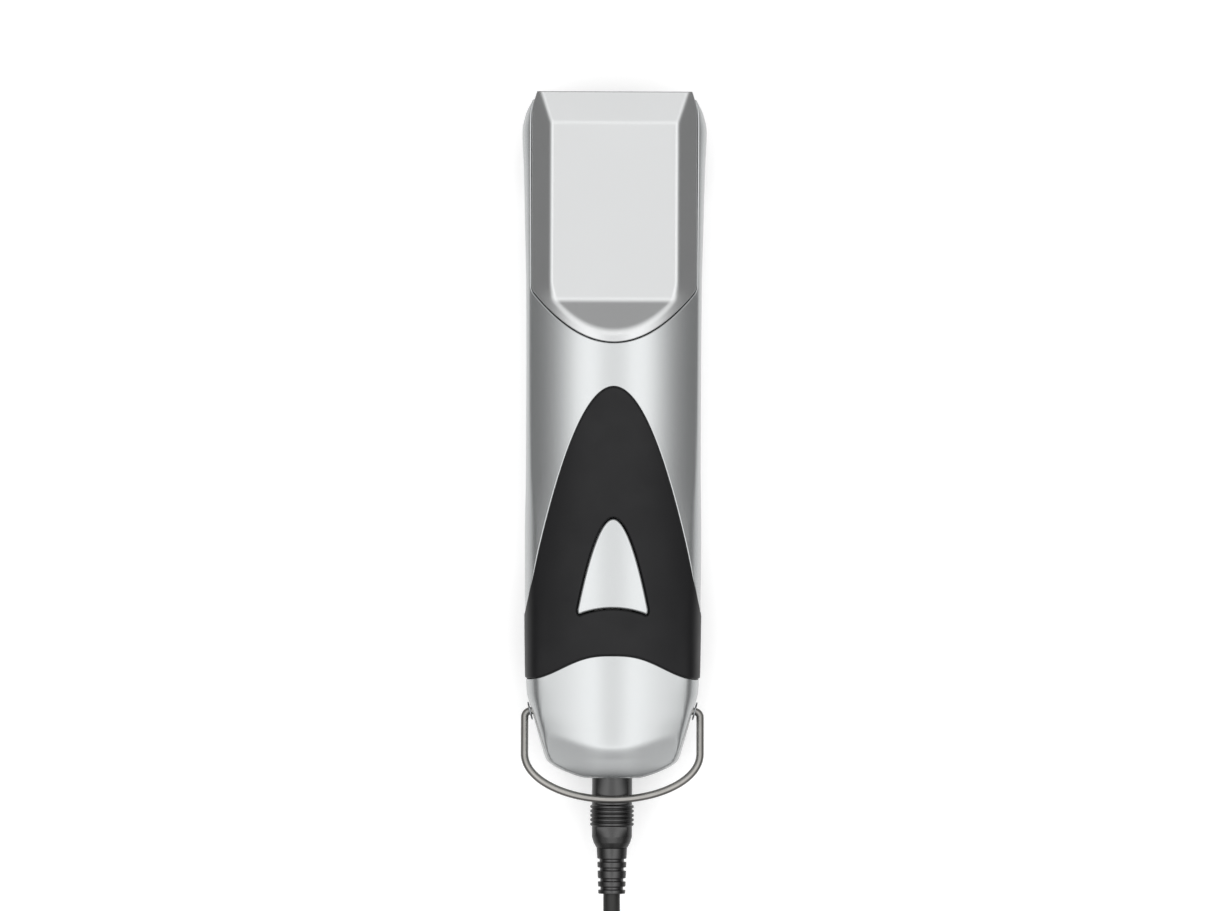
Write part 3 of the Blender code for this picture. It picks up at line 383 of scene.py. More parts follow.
def ramp_node(tree, value, stops):
    """A grey ramp through (position, brightness) stops."""
    node = tree.nodes.new("ShaderNodeValToRGB")
    elements = node.color_ramp.elements
    while len(elements) < len(stops):
        elements.new(0.5)
    for element, (place, bright) in zip(elements, stops):
        element.position = place
        element.color = (bright, bright, bright, 1.0)
    tree.links.new(value, node.inputs["Fac"])
    return node.outputs["Color"]


def make_world():
    """A tent of soft light: bright overhead with a softbox on each side, and dim towards the horizon."""
    world = bpy.data.worlds.new("studio")
    bpy.context.scene.world = world
    world.use_nodes = True
    tree = world.node_tree
    background = tree.nodes["Background"]
    direction = tree.nodes.new("ShaderNodeTexCoord").outputs["Generated"]
    split = tree.nodes.new("ShaderNodeSeparateXYZ")
    tree.links.new(direction, split.inputs["Vector"])
    height = math_node(tree, "MULTIPLY_ADD", split.outputs["Z"], 0.5, 0.5)
    stops = [((math.cos(math.radians(angle)) + 1.0) / 2.0, bright) for angle, bright in reversed(TENT)]
    tent = ramp_node(tree, height, stops)
    aside = math_node(tree, "ABSOLUTE", split.outputs["X"])
    boxes = ramp_node(tree, aside, SOFTBOXES)
    above = tree.nodes.new("ShaderNodeMapRange")
    set_inputs(above, {"From Max": SOFTBOX_RISE})
    tree.links.new(split.outputs["Z"], above.inputs["Value"])
    total = math_node(tree, "MULTIPLY_ADD", boxes, above.outputs["Result"], tent)
    tree.links.new(total, background.inputs["Color"])
    set_inputs(background, {"Strength": 1.0})


def make_floor():
    mesh = bpy.data.meshes.new("floor")
    count = 64
    angles = [2 * math.pi * i / count for i in range(count)]
    rim = [(FLOOR_R * math.cos(angle), FLOOR_R * math.sin(angle), FLOOR_Z) for angle in angles]
    mesh.from_pydata(rim, [], [tuple(range(count))])
    floor = new_object("floor", mesh)
    look = Finish("pale_floor", (0.955, 0.955, 0.955), 0.6)
    look.mottle(look.noise(40.0), 0.004)
    glow = {"Emission Color": (1.0, 1.0, 1.0, 1.0), "Emission Strength": FLOOR_GLOW}
    set_inputs(look.shader, {"Specular IOR Level": 0.2, **glow})
    mesh.materials.append(look.material)
    floor.visible_glossy = False


def make_fill():
    """A large lamp overhead, which isn't mirrored in glossy surfaces."""
    lamp = bpy.data.lights.new("fill", "AREA")
    lamp.shape = "DISK"
    lamp.size = FILL_SIZE
    lamp.energy = FILL_ENERGY
    fill = new_object("fill", lamp)
    fill.location = (0.0, 0.0, FILL_HEIGHT)
    fill.visible_glossy = False


# ---- mesh helpers


def unit(vectors):
    return vectors / np.maximum(np.linalg.norm(vectors, axis=-1, keepdims=True), 1e-12)


def add_object(name, data, slot, body="housing", look=None):
    """An object that rides on a body. Its look is its slot's, unless another is named."""
    obj = new_object(name, data)
    data.materials.append(LOOKS[look or slot])
    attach(obj, body)
    return obj


def new_mesh(name, points, faces, sharp=None):
    """A mesh from points in millimetres. Edges sharper than the angle in degrees stay crisp."""
    mesh = bpy.data.meshes.new(name)
    mesh.from_pydata(np.asarray(points, float) * MM, [], faces)
    mesh.shade_smooth()
    if sharp:
        mesh.set_sharp_from_angle(angle=math.radians(sharp))
    return mesh


def even_run(points, step):
    """The same line with points about a step apart. Its two ends stay where they are."""
    points = np.asarray(points, float)
    along = np.concatenate([[0.0], np.cumsum(np.linalg.norm(np.diff(points, axis=0), axis=1))])
    count = max(1, int(round(along[-1] / step)))
    wanted = np.linspace(0.0, along[-1], count + 1)
    return np.stack([np.interp(wanted, along, points[:, k]) for k in range(points.shape[1])], axis=1)


def arc(count, turn=0.5):
    """(cosine, sine) at even steps from 0 to turn times half a circle, both ends included."""
    angles = [turn * math.pi * i / count for i in range(count + 1)]
    return [(math.cos(angle), math.sin(angle)) for angle in angles]


def closed_loop(runs, step=0.5):
    """One closed loop from runs that meet at corners."""
    return np.concatenate([even_run(run, step)[:-1] for run in runs])


def turned_way(loop, positive):
    x, y = loop.T
    area = np.sum(x * np.roll(y, -1) - np.roll(x, -1) * y)
    return loop if (area > 0) == positive else loop[::-1]


def inset(loop, distance):
    """The loop moved to its left by a distance, with mitred corners."""
    before = unit(loop - np.roll(loop, 1, axis=0))
    after = unit(np.roll(loop, -1, axis=0) - loop)
    left_before = np.stack([-before[:, 1], before[:, 0]], axis=1)
    left_after = np.stack([-after[:, 1], after[:, 0]], axis=1)
    share = np.maximum(1.0 + np.sum(left_before * left_after, axis=1), 0.5)
    return loop + distance * (left_before + left_after) / share[:, None]


def inside(points, loops):
    """Which points lie in the region that the loops bound, by the even-odd rule."""
    found = np.zeros(len(points), bool)
    x, y = points.T
    for loop in loops:
        for (x0, y0), (x1, y1) in zip(loop, np.roll(loop, -1, axis=0)):
            if y0 == y1:
                continue
            crosses = (y0 > y) != (y1 > y)
            found ^= crosses & (x < (x1 - x0) * (y - y0) / (y1 - y0) + x0)
    return found


def fill_region(loops, spacing):
    """Triangles over the region: returns its points, loop points first, and its faces."""
    rim = np.concatenate(loops)
    edges = []
    start = 0
    for loop in loops:
        count = len(loop)
        edges += [(start + i, start + (i + 1) % count) for i in range(count)]
        start += count
    low, high = rim.min(0), rim.max(0)
    across, along = np.meshgrid(np.arange(low[0], high[0], spacing), np.arange(low[1], high[1], spacing))
    along = along + 0.5 * spacing * (np.arange(along.shape[1]) % 2)
    grid = np.stack([across.ravel(), along.ravel()], axis=1)
    grid = grid[inside(grid, [inset(loop, 0.55 * spacing) for loop in loops])]
    flat = np.concatenate([rim, grid])
    made = delaunay_2d_cdt([Vector(p) for p in flat], edges, [], 0, 1e-6)
    rename, extra = {}, []
    for index, (place, sources) in enumerate(zip(made[0], made[3])):
        on_rim = [s for s in sources if s < len(rim)]
        if on_rim:
            rename[index] = on_rim[0]
        else:
            rename[index] = len(rim) + len(extra)
            extra.append(place)
    points = np.concatenate([rim, np.array(extra).reshape(-1, 2)])
    faces = np.array([[rename[i] for i in face] for face in made[2]])
    faces = faces[inside(points[faces].mean(axis=1), loops)]
    corner = points[faces]
    turn = np.cross(corner[:, 1] - corner[:, 0], corner[:, 2] - corner[:, 0])
    faces[turn < 0] = faces[turn < 0][:, ::-1]
    return points, faces


def tile_points(surface, points, border, rim, depth):
    """Places and normals of a tile: its top, the rings of its rounded rim, its foot and its underside."""
    count = len(border)
    place, normal = surface(points)
    inner_place, inner_normal = place[:count], normal[:count]
    edge_place, edge_normal = surface(border)
    outward = edge_place - inner_place
    outward = unit(outward - edge_normal * np.sum(outward * edge_normal, axis=1, keepdims=True))
    places, shades = [place], [normal]
    for step in range(1, RIM_STEPS + 1):
        angle = 0.5 * math.pi * step / RIM_STEPS
        share = math.sin(angle)
        base = inner_place + (edge_place - inner_place) * share
        face_up = unit(inner_normal + (edge_normal - inner_normal) * share)
        places.append(base - face_up * rim * (1.0 - math.cos(angle)))
        shades.append(unit(face_up * math.cos(angle) + outward * math.sin(angle)))
    places += [edge_place - edge_normal * depth, place - normal * depth]
    shades += [outward, -normal]
    return np.concatenate(places), np.concatenate(shades), edge_normal


def tile_faces(loops, faces, total):
    """Blocks of faces above the edge's foot, blocks below it, and the number of the foot's first point."""
    count = sum(len(loop) for loop in loops)
    rings = [0] + [total + count * k for k in range(RIM_STEPS + 1)]
    foot = rings[-1]
    under = foot + count
    top, bottom = [faces], []
    start = 0
    for loop in loops:
        now = start + np.arange(len(loop))
        after = start + (np.arange(len(loop)) + 1) % len(loop)
        for a, b in zip(rings, rings[1:]):
            top.append(np.stack([a + now, b + now, b + after, a + after], axis=1))
        bottom.append(np.stack([foot + now, under + now, under + after, foot + after], axis=1))
        start += len(loop)
    bottom.append(faces[:, ::-1] + under)
    return top, bottom, foot


def tile(name, surface, loops, rim, depth, spacing=GRID, shrink=EDGE_GAP, flip=False):
    """A closed slab on a surface, bounded by loops, with its upper rim rounded all round.

    The first loop is the outline and the others are holes. surface gives places and outward normals for flat
    points. flip is for a surface whose flat points run the other way round than its outside."""
    loops = [inset(turned_way(loop, index == 0), shrink) for index, loop in enumerate(loops)]
    points, faces = fill_region([inset(loop, rim) for loop in loops], spacing)
    places, shades, edge_normal = tile_points(surface, points, np.concatenate(loops), rim, depth)
    top, bottom, foot = tile_faces(loops, faces, len(points))
    under_shades = shades.copy()
    under_shades[foot : foot + len(edge_normal)] = -edge_normal
    listed, corner_shades = [], []
    for blocks, source in ((top, shades), (bottom, under_shades)):
        for block in blocks:
            block = block[:, ::-1] if flip else block
            listed += block.tolist()
            corner_shades.append(source[block.ravel()])
    mesh = bpy.data.meshes.new(name)
    mesh.from_pydata(places * MM, [], listed)
    mesh.shade_smooth()
    mesh.normals_split_custom_set(np.concatenate(corner_shades))
    return mesh


# ---- housing surface


def station_values(y):
    """Monotone cubic through the stations, for an array of y: one row of values for each."""
    stations = np.array(STATIONS)
    knots, values = stations[:, 0], stations[:, 1:]
    step = np.diff(knots)[:, None]
    slope = np.diff(values, axis=0) / step
    before, after = slope[:-1], slope[1:]
    total = np.where(before + after == 0, 1, before + after)
    inner = np.where(before * after > 0, 2 * before * after / total, 0)
    tangent = np.concatenate([slope[:1], inner, slope[-1:]])
    index = np.clip(np.searchsorted(knots, y, side="right") - 1, 0, len(knots) - 2)
    t = np.clip((y - knots[index]) / step[index, 0], 0, 1)[:, None]
    return (
        (2 * t**3 - 3 * t**2 + 1) * values[index]
        + (t**3 - 2 * t**2 + t) * step[index] * tangent[index]
        + (3 * t**2 - 2 * t**3) * values[index + 1]
        + (t**3 - t**2) * step[index] * tangent[index + 1]
    )


def upper_line(half, shoulder_x, shoulder_z, top, bottom):
    """From the crown over the dome and down the side, past the seam."""
    drop = top - shoulder_z
    radius = (shoulder_x**2 + drop**2) / (2.0 * drop)
    angle = np.linspace(0.0, math.asin(min(1.0, shoulder_x / radius)), 60)
    knee_z = shoulder_z - (half - shoulder_x) * math.tan(angle[-1])
    t = np.linspace(0.0, 1.0, 25)[1:]
    side_x = (1 - t) ** 2 * shoulder_x + (2 * t - t * t) * half
    side_z = (1 - t) ** 2 * shoulder_z + 2 * t * (1 - t) * knee_z + t * t * SEAM_Z
    x = np.concatenate([radius * np.sin(angle), side_x, [half]])
    z = np.concatenate([top - radius * (1.0 - np.cos(angle)), side_z, [SEAM_Z - 12.0]])
    return x, z


def lower_line(half, shoulder_x, shoulder_z, top, bottom):
    """From the middle of the back round its corner and up the side, past the seam."""
    flat = 0.52 * half
    low = bottom + 0.55 * (SEAM_Z - bottom)
    t = np.linspace(0.0, 1.0, 40)
    x = (1 - t) ** 2 * flat + 2 * t * (1 - t) * (half - 0.5) + t * t * (half - 0.4)
    z = (1 - t) ** 2 * bottom + 2 * t * (1 - t) * (bottom + 0.3) + t * t * low
    x = np.concatenate([[0.0], x, [half, half + 0.4]])
    z = np.concatenate([[bottom], z, [SEAM_Z, 2.0 * SEAM_Z - low]])
    return x, z


def soft_least(a, b, blend):
    """The lesser of two heights, with a fillet where they meet."""
    near = np.maximum(blend - np.abs(a - b), 0.0) / blend
    return np.minimum(a, b) - near**2 * blend / 4.0


def soft_most(a, b, blend):
    return -soft_least(-a, -b, blend)


def near_end_cap(y):
    """0 on the handle and 1 on the end cap."""
    share = np.clip((END_CAP_Y - y) / END_CAP_BLEND, 0.0, 1.0)
    return share * share * (3.0 - 2.0 * share)


class Skin:
    """Half of the housing's outside as a sheet. s runs across from the middle line, and v runs along it."""

    STEP = 0.25
    REACH = 46.0

    def __init__(self, upper):
        self.upper = upper
        line = upper_line if upper else lower_line
        stretches = ((TAIL_Y, -84.0, 37), (-84.0, -76.0, 54), (-76.0, NOSE_Y, 406))
        ys = np.unique(np.concatenate([np.linspace(*stretch) for stretch in stretches]))
        sections = [line(*row) for row in station_values(ys)]
        across = np.arange(0.0, self.REACH, self.STEP)
        first = sections[0]
        caps = np.linspace(0.25, 1.0, 24)[:-1]
        sections = [(first[0] * f, SEAM_Z + (first[1] - SEAM_Z) * f) for f in caps] + sections
        self.y = np.concatenate([np.full(len(caps), TAIL_Y), ys])
        rows_x, rows_z, seam = [], [], []
        for x, z in sections:
            along = np.concatenate([[0.0], np.cumsum(np.hypot(np.diff(x), np.diff(z)))])
            rows_x.append(np.interp(across, along, x))
            rows_z.append(np.interp(across, along, z))
            seam.append(along[-2])
        self.x, self.z, self.seam = np.array(rows_x), np.array(rows_z), np.array(seam)
        if upper:
            self.shape_end_cap()
        crown = self.z[:, 0]
        self.v = np.concatenate([[0.0], np.cumsum(np.hypot(np.diff(self.y), np.diff(crown)))])
        self.first_body_row = len(caps)
        self.v -= np.interp(0.0, self.y[self.first_body_row :], self.v[self.first_body_row :])

    def shape_end_cap(self):
        """Cuts the end cap's lower face, then flattens its flanks."""
        crease = END_CREASE_Y + CREASE_BOW * self.x**2
        behind = np.maximum(0.0, crease - self.y[:, None])
        slope = END_SLOPE * (1.0 - (self.x / END_SLOPE_HALF) ** 2)
        limit = CROWN_Z - 0.1 - self.x**2 / END_DOME - slope * behind
        inner = np.clip((END_FACE_HALF - self.x) / 2.0, 0.0, 1.0)
        cut = soft_least(self.z, limit, 0.25)
        self.z = self.z + (cut - self.z) * inner
        sunk = END_CAP_SINK * self.x**2 * (1.0 - (self.x / FLANK_TURN_X) ** 2) * near_end_cap(self.y)[:, None]
        raised = self.z - SEAM_Z
        self.z = np.where(raised > 0.0, SEAM_Z + raised * (1.0 - sunk), self.z)

    def v_at(self, y):
        return np.interp(y, self.y[self.first_body_row :], self.v[self.first_body_row :])

    def read(self, table, row, column):
        row = np.clip(row, 0, table.shape[0] - 1.001)
        column = np.clip(column, 0, table.shape[1] - 1.001)
        r, c = row.astype(int), column.astype(int)
        a, b = row - r, column - c
        near = table[r, c] * (1 - b) + table[r, c + 1] * b
        far = table[r + 1, c] * (1 - b) + table[r + 1, c + 1] * b
        return near * (1 - a) + far * a

    def places(self, flat):
        s, v = flat[:, 0], flat[:, 1]
        row = np.interp(v, self.v, np.arange(len(self.v)))
        column = np.abs(s) / self.STEP
        x = self.read(self.x, row, column) * np.sign(s)
        return np.stack([x, np.interp(v, self.v, self.y), self.read(self.z, row, column)], axis=1)

    def surface(self, grow=0.0):
        """Places and outward normals for flat points, on the skin grown by a distance."""

        def read(flat):
            gap = 0.35
            aside, ahead = np.array([gap, 0.0]), np.array([0.0, gap])
            along_s = self.places(flat + aside) - self.places(flat - aside)
            along_v = self.places(flat + ahead) - self.places(flat - ahead)
            normal = unit(np.cross(along_s, along_v))
            normal = normal if self.upper else -normal
            return self.places(flat) + grow * normal, normal

        return read

    def flat_from_plan(self, points):
        """Flat points for plan points (x, y)."""
        points = np.asarray(points, float)
        flat = []
        for x, y in points:
            v = float(self.v_at(y))
            flat.append((math.copysign(self.s_at(abs(x), v), x) if x else 0.0, v))
        return np.array(flat)

    def s_at(self, x, v):
        row = np.clip(int(round(np.interp(v, self.v, np.arange(len(self.v))))), 0, len(self.v) - 1)
        limit = self.seam[row]
        across = np.arange(self.x.shape[1]) * self.STEP
        rising = np.maximum.accumulate(self.x[row])
        s = np.interp(x, rising + 1e-7 * across, across)
        return float(min(s, limit))

    def seam_run(self, start, end):
        """Flat points along the right side's seam between two values of v."""
        v = np.linspace(start, end, max(2, int(abs(end - start))))
        return np.stack([np.interp(v, self.v, self.seam), v], axis=1)

    def mouth_run(self, s_from, s_to):
        """Flat points where the skin meets the blade mouth's plane."""
        run = []
        for s in np.linspace(s_from, s_to, 40):
            y = 70.0
            for _ in range(12):
                at = self.places(np.array([[s, self.v_at(y)]]))[0]
                y = min(NOSE_Y, MOUTH_Y + MOUTH_RUN * at[2])
            run.append((s, self.v_at(y)))
        return np.array(run)


def mirrored(run):
    """The same run on the other side, the other way round."""
    other = np.array(run)[::-1].copy()
    other[:, 0] *= -1.0
    return other


def grip_side(skin):
    """From the grip's rounded point down its right side to the seam, as plan points."""
    x = np.linspace(0.0, GRIP_HALF, 90)
    y = GRIP_APEX_Y - (x / 2.79) ** (1.0 / 0.51)
    return skin.flat_from_plan(np.stack([x, y], axis=1))


def grip_end(skin):
    """The grip's lower edge, from the right seam to the middle."""
    x = np.linspace(GRIP_HALF, 0.0, 60)
    wave = np.sin(math.pi * np.minimum(x, GRIP_WAVE_HALF) / (2.0 * GRIP_WAVE_HALF)) ** 2
    return skin.flat_from_plan(np.stack([x, GRIP_END_Y - GRIP_END_DROP * wave**1.42], axis=1))


def button_loop(skin, grow=0.0):
    x = np.linspace(0.0, BUTTON_HALF, 40)
    y = BUTTON_APEX_Y - (x / 1.75) ** (1.0 / 0.516)
    side = list(zip(x, y))
    corner = [(8.72, -44.35), (8.55, -44.75), (8.2, -44.9)]
    foot = [(f, BUTTON_FOOT_Y - 1.6 * (f / 8.4) ** 2) for f in np.linspace(7.6, 0.0, 16)]
    run = skin.flat_from_plan(side + corner + foot)
    loop = closed_loop([run, mirrored(run)], 0.4)
    return inset(turned_way(loop, True), -grow)


# ---- housing tiles


def seam_bow():
    """The bowed seam between the head cover and the housing, from the middle to its right end."""
    x = np.linspace(0.0, SEAM_BOW_HALF, 60)
    return np.stack([x, SEAM_APEX_Y + x**2 / SEAM_BOW_R], axis=1)


def whole_loop(right, step=0.5):
    """A loop from its runs on the right, from the middle to the middle, and the same runs on the left."""
    return closed_loop(right + [mirrored(run) for run in right[::-1]], step)


def shell_tile(name, skin, loops, slot):
    mesh = tile(name, skin.surface(), loops, SHELL_RIM, SHELL_DEPTH, flip=not skin.upper)
    add_object(name, mesh, slot)


def upper_head_loop(skin):
    side = grip_side(skin)
    low = skin.seam_run(side[-1, 1], skin.mouth_run(skin.seam[-1], skin.seam[-1])[0, 1])
    edge_s = skin.s_at(SKIRT_HALF, skin.v_at(80.0))
    mouth = skin.mouth_run(low[-1, 0], edge_s)
    low = np.concatenate([low[:-1], mouth[:1]])
    edge = [(SKIRT_HALF, 84.0), (SKIRT_HALF, 60.0), (SKIRT_HALF, SHOULDER_Y)]
    cover = skin.flat_from_plan([*edge, *seam_bow()[::-1].tolist()])
    cover[:3, 0] = np.maximum(cover[:3, 0], cover[2, 0])
    straight = np.concatenate([mouth[-1:], cover[1:3]])
    return whole_loop([side, low, mouth, straight, cover[2:]])


def tail_loop(skin):
    """The end piece behind the grip, down to the end face."""
    edge = grip_end(skin)
    seam = skin.seam_run(skin.v[0], edge[0, 1])
    end = np.array([(0.0, skin.v[0]), (seam[0, 0], skin.v[0])])
    return whole_loop([end, seam, edge])


def grip_loop(skin):
    side = grip_side(skin)
    end = grip_end(skin)
    seam = skin.seam_run(side[-1, 1], end[0, 1])
    return whole_loop([side, seam, end])


def lower_head_loop(skin):
    """The back of the head: from the grip's point to the blade mouth, with the latch's slot let in."""
    side = grip_side(skin)
    mouth = skin.mouth_run(skin.seam[-1], LATCH_HALF)
    seam = skin.seam_run(side[-1, 1], mouth[0, 1])
    mouth[0, 0] = seam[-1, 0]
    slot = np.array([mouth[-1], (LATCH_HALF, skin.v_at(LATCH_SLOT_Y))])
    across = np.array([slot[-1], (0.0, skin.v_at(LATCH_SLOT_Y))])
    return whole_loop([side, seam, mouth, slot, across])


def screw_holes(skin, place):
    """Two round holes, as far aside on each side of the middle."""
    angle = np.linspace(0.0, 2.0 * math.pi, 41)[:-1]
    holes = []
    for x in (-place[0], place[0]):
        middle = skin.flat_from_plan([(x, place[1])])[0]
        holes.append(middle + SCREW_HOLE_R * np.stack([np.cos(angle), np.sin(angle)], axis=1))
    return holes


def build_shell_tiles(upper, lower):
    shell_tile("front_head_skin", upper, [upper_head_loop(upper)], "silver")
    shell_tile("front_tail_skin", upper, [tail_loop(upper)], "silver")
    head = [lower_head_loop(lower), *screw_holes(lower, HEAD_SCREW)]
    shell_tile("rear_head_skin", lower, head, "silver_rear")
    tail = [tail_loop(lower), *screw_holes(lower, TAIL_SCREW)]
    shell_tile("rear_tail_skin", lower, tail, "silver_rear")


def build_grips(upper, lower):
    pads = (
        ("front_grip_pad", "grip_front", upper, [grip_loop(upper), button_loop(upper, BUTTON_ROOM)], 1.05),
        ("rear_grip_pad", "grip_rear", lower, [grip_loop(lower)], 1.3),
    )
    for name, node, skin, loops, depth in pads:
        mesh = tile(name, skin.surface(GRIP_PROUD), loops, GRIP_RIM, depth, shrink=0.02, flip=not skin.upper)
        pad = add_object(name, mesh, "rubber")
        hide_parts(node)


def build_button(upper):
    face, loop = upper.surface(BUTTON_PROUD), button_loop(upper)
    mesh = tile("push_button", face, [loop], 0.55, 4.6, spacing=0.6, shrink=0.0)
    button = add_object("push_button", mesh, "silver", "button")
    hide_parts("power_button")


def welded(mesh):
    """The mesh's points in millimetres, with those at one place made one, and its faces."""
    numbers = {}
    places = [tuple(np.round(np.array(vertex.co) / MM, 4)) for vertex in mesh.vertices]
    rename = [numbers.setdefault(place, len(numbers)) for place in places]
    faces = []
    for polygon in mesh.polygons:
        corners = [rename[i] for i in polygon.vertices]
        if len(set(corners)) == len(corners):
            faces.append(corners)
    return np.array(list(numbers)), faces


def taken_in(point, row):
    """A point of the shell's outside moved inwards across its section. Any other point stays."""
    x, y, z = point
    upper_x, upper_z = upper_line(*row)
    lower_x, lower_z = lower_line(*row)
    across = np.concatenate([lower_x[:-1], upper_x[-2::-1]])
    line = np.stack([across, np.concatenate([lower_z[:-1], upper_z[-2::-1]])], axis=1)
    start, run = line[:-1], np.diff(line, axis=0)
    here = np.array([abs(x), z])
    share = np.sum((here - start) * run, axis=1) / np.maximum(np.sum(run**2, axis=1), 1e-9)
    share = np.clip(share, 0, 1)
    away = here - (start + share[:, None] * run)
    nearest = np.argmin(np.sum(away**2, axis=1))
    if np.hypot(*away[nearest]) >= ON_OUTSIDE + END_CAP_SPREAD * near_end_cap(y):
        return x, y, z
    out = unit(np.array([run[nearest][1], -run[nearest][0]]))
    depth = CORE_DEPTH + (END_CAP_DEEPER * near_end_cap(y) if z > SEAM_Z + 3.0 else 0.0)
    goal = start[nearest] + share[nearest] * run[nearest] - depth * out
    new_x = math.copysign(max(goal[0], 0.0), x) if abs(x) > 0.05 else x
    return new_x, y, goal[1]


def build_core(name, node):
    """The moulding under the skin tiles: the CAD shell with its outside taken in."""
    points, faces = welded(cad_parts[node].data)
    moved = np.array([taken_in(point, row) for point, row in zip(points, station_values(points[:, 1]))])
    moved[:, 1] = np.clip(moved[:, 1], TAIL_Y + CORE_DEPTH, NOSE_Y - 0.4)
    mesh = new_mesh(name, moved, faces, 30.0)
    core = add_object(name, mesh, "black", look="inner")
    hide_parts(node)


# ---- head cover


def cover_surface(flat):
    """Height field of the cover: the dome, the slope down to the plate, the plate, its skirts and the tip."""

    def height(points):
        x, y = np.abs(points[:, 0]), points[:, 1]
        dome = CROWN_Z - DOME_R + np.sqrt(DOME_R**2 - np.minimum(x, 24.0) ** 2)
        skirt = PLATE_Z - SKIRT_SLOPE * (x - PLATE_HALF)
        share = np.clip((y - SKIRT_START_Y) / SKIRT_BLEND, 0.0, 1.0)
        share = share * share * (3 - 2 * share)
        side = dome * (1 - share) + skirt * share
        facet = CROWN_Z - FACET_SLOPE * (y - FACET_TOP_Y)
        face = soft_most(facet, np.full_like(x, PLATE_Z), 0.45)
        tip = PLATE_Z - TIP_SLOPE * (y - TIP_BEVEL_Y)
        face = soft_least(face, tip, 0.2)
        return soft_least(face, side, 0.6)

    def place(points):
        return np.column_stack([points, height(points)])

    gap = 0.12
    across = place(flat + [gap, 0.0]) - place(flat - [gap, 0.0])
    along = place(flat + [0.0, gap]) - place(flat - [0.0, gap])
    return place(flat), unit(np.cross(across, along))


def build_cover():
    bow = seam_bow()
    corner = np.array([tuple(bow[-1]), (20.75, 36.2), (SKIRT_HALF, 37.2)])
    side = np.array([(SKIRT_HALF, 37.2), (SKIRT_HALF, 81.0), (20.5, 83.0), (19.6, NOSE_Y)])
    tip = np.array([(19.6, NOSE_Y), (0.0, NOSE_Y)])
    right = [bow, corner, side, tip]
    loop = whole_loop(right, 0.4)
    mesh = tile("head_plate", cover_surface, [loop], 0.28, 1.9, spacing=0.45, shrink=0.12)
    cover = add_object("head_plate", mesh, "plate")
    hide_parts("head_cover")


# ---- turned pieces


def rounded(profile, radius, count=4):
    """A profile with its inner corners rounded."""
    points = [np.array(p, float) for p in profile]
    made = [points[0]]
    for before, here, after in zip(points, points[1:], points[2:]):
        back, ahead = unit(before - here), unit(after - here)
        turn = math.acos(float(np.clip(np.dot(back, ahead), -1.0, 1.0)))
        shorter = min(np.linalg.norm(before - here), np.linalg.norm(after - here))
        reach = min(radius / max(math.tan(turn / 2.0), 1e-3), 0.45 * shorter)
        start, end = here + back * reach, here + ahead * reach
        for i in range(count + 1):
            t = i / count
            made.append((1 - t) ** 2 * start + 2 * t * (1 - t) * here + t * t * end)
    return made + [points[-1]]


def turned(name, profile, frame_of, slot, steps=96, closed=False):
    """A turned piece of the housing's body. The profile is (radius, distance along the axis), and frame_of
    places (a, b, along). A closed profile makes a ring."""
    angles = [2.0 * math.pi * i / steps for i in range(steps)]
    points, faces, rings = [], [], []
    for radius, along in profile:
        if radius < 1e-6:
            rings.append([len(points)])
            points.append(frame_of(0.0, 0.0, along))
            continue
        rings.append(list(range(len(points), len(points) + steps)))
        points += [frame_of(radius * math.cos(a), radius * math.sin(a), along) for a in angles]
    pairs = list(zip(rings, rings[1:]))
    if closed:
        pairs.append((rings[-1], rings[0]))
    for a, b in pairs:
        for i in range(steps):
            j = (i + 1) % steps
            if len(a) == 1:
                faces.append((a[0], b[j], b[i]))
            elif len(b) == 1:
                faces.append((a[i], a[j], b[0]))
            else:
                faces.append((a[i], a[j], b[j], b[i]))
    return add_object(name, new_mesh(name, points, faces, 50.0), slot)


def on_lead_axis(a, b, along):
    return (a, along, LEAD_Z + b)


def build_connector():
    profile = [(0.0, -82.9), (5.05, -82.9), (5.05, -92.4)]
    for i in range(5):
        start = -92.9 - 1.1 * i
        profile += [(5.05, start), (5.5, start - 0.15), (5.5, start - 0.75), (5.05, start - 0.95)]
    profile += [(5.05, -98.5), (5.05, -100.9), (4.6, -102.4), (3.9, -103.7), (0.0, -103.7)]
    sleeve = turned("lead_connector", rounded(profile, 0.3), on_lead_axis, "black")
    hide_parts("cord_connector")
    inner = LEAD_R + 0.12
    relief = [(inner, -103.72), (3.85, -103.72)]
    for start in (-106.4, -108.6, -111.3, -113.4):
        radius = 3.75 - 0.35 * (-104.0 - start) / 11.0
        floor = radius - 0.6
        relief += [(radius, start), (floor, start - 0.1), (floor, start - 0.75), (radius, start - 0.85)]
    relief += [(3.38, -115.2), (inner, -115.2)]
    boot = turned("lead_boot", rounded(relief, 0.2), on_lead_axis, "black")
    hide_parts("cord_strain_relief")
    return [sleeve, boot]


def build_washers():
    lean = math.radians(14.5)
    profile = [(1.3, 0.0), (1.3, 0.4), (2.3, 0.4), (2.3, 0.0), (1.3, 0.0)]
    for side, sign in (("left", -1.0), ("right", 1.0)):
        turn = Matrix.Rotation(-sign * lean, 3, "Z")
        middle = Vector((sign * 20.65, LOOP_PIVOT_Y, LOOP_PIVOT_Z))

        def placed(a, b, along, turn=turn, middle=middle, sign=sign):
            return middle + turn @ Vector((sign * (along - 0.2), a, sign * b))

        ring = rounded(profile, 0.1)[:-1]
        washer = turned(f"washer_{side}", ring, placed, "steel", 64, closed=True)
        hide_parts(f"loop_washer_{side}")


# ---- wire and cord


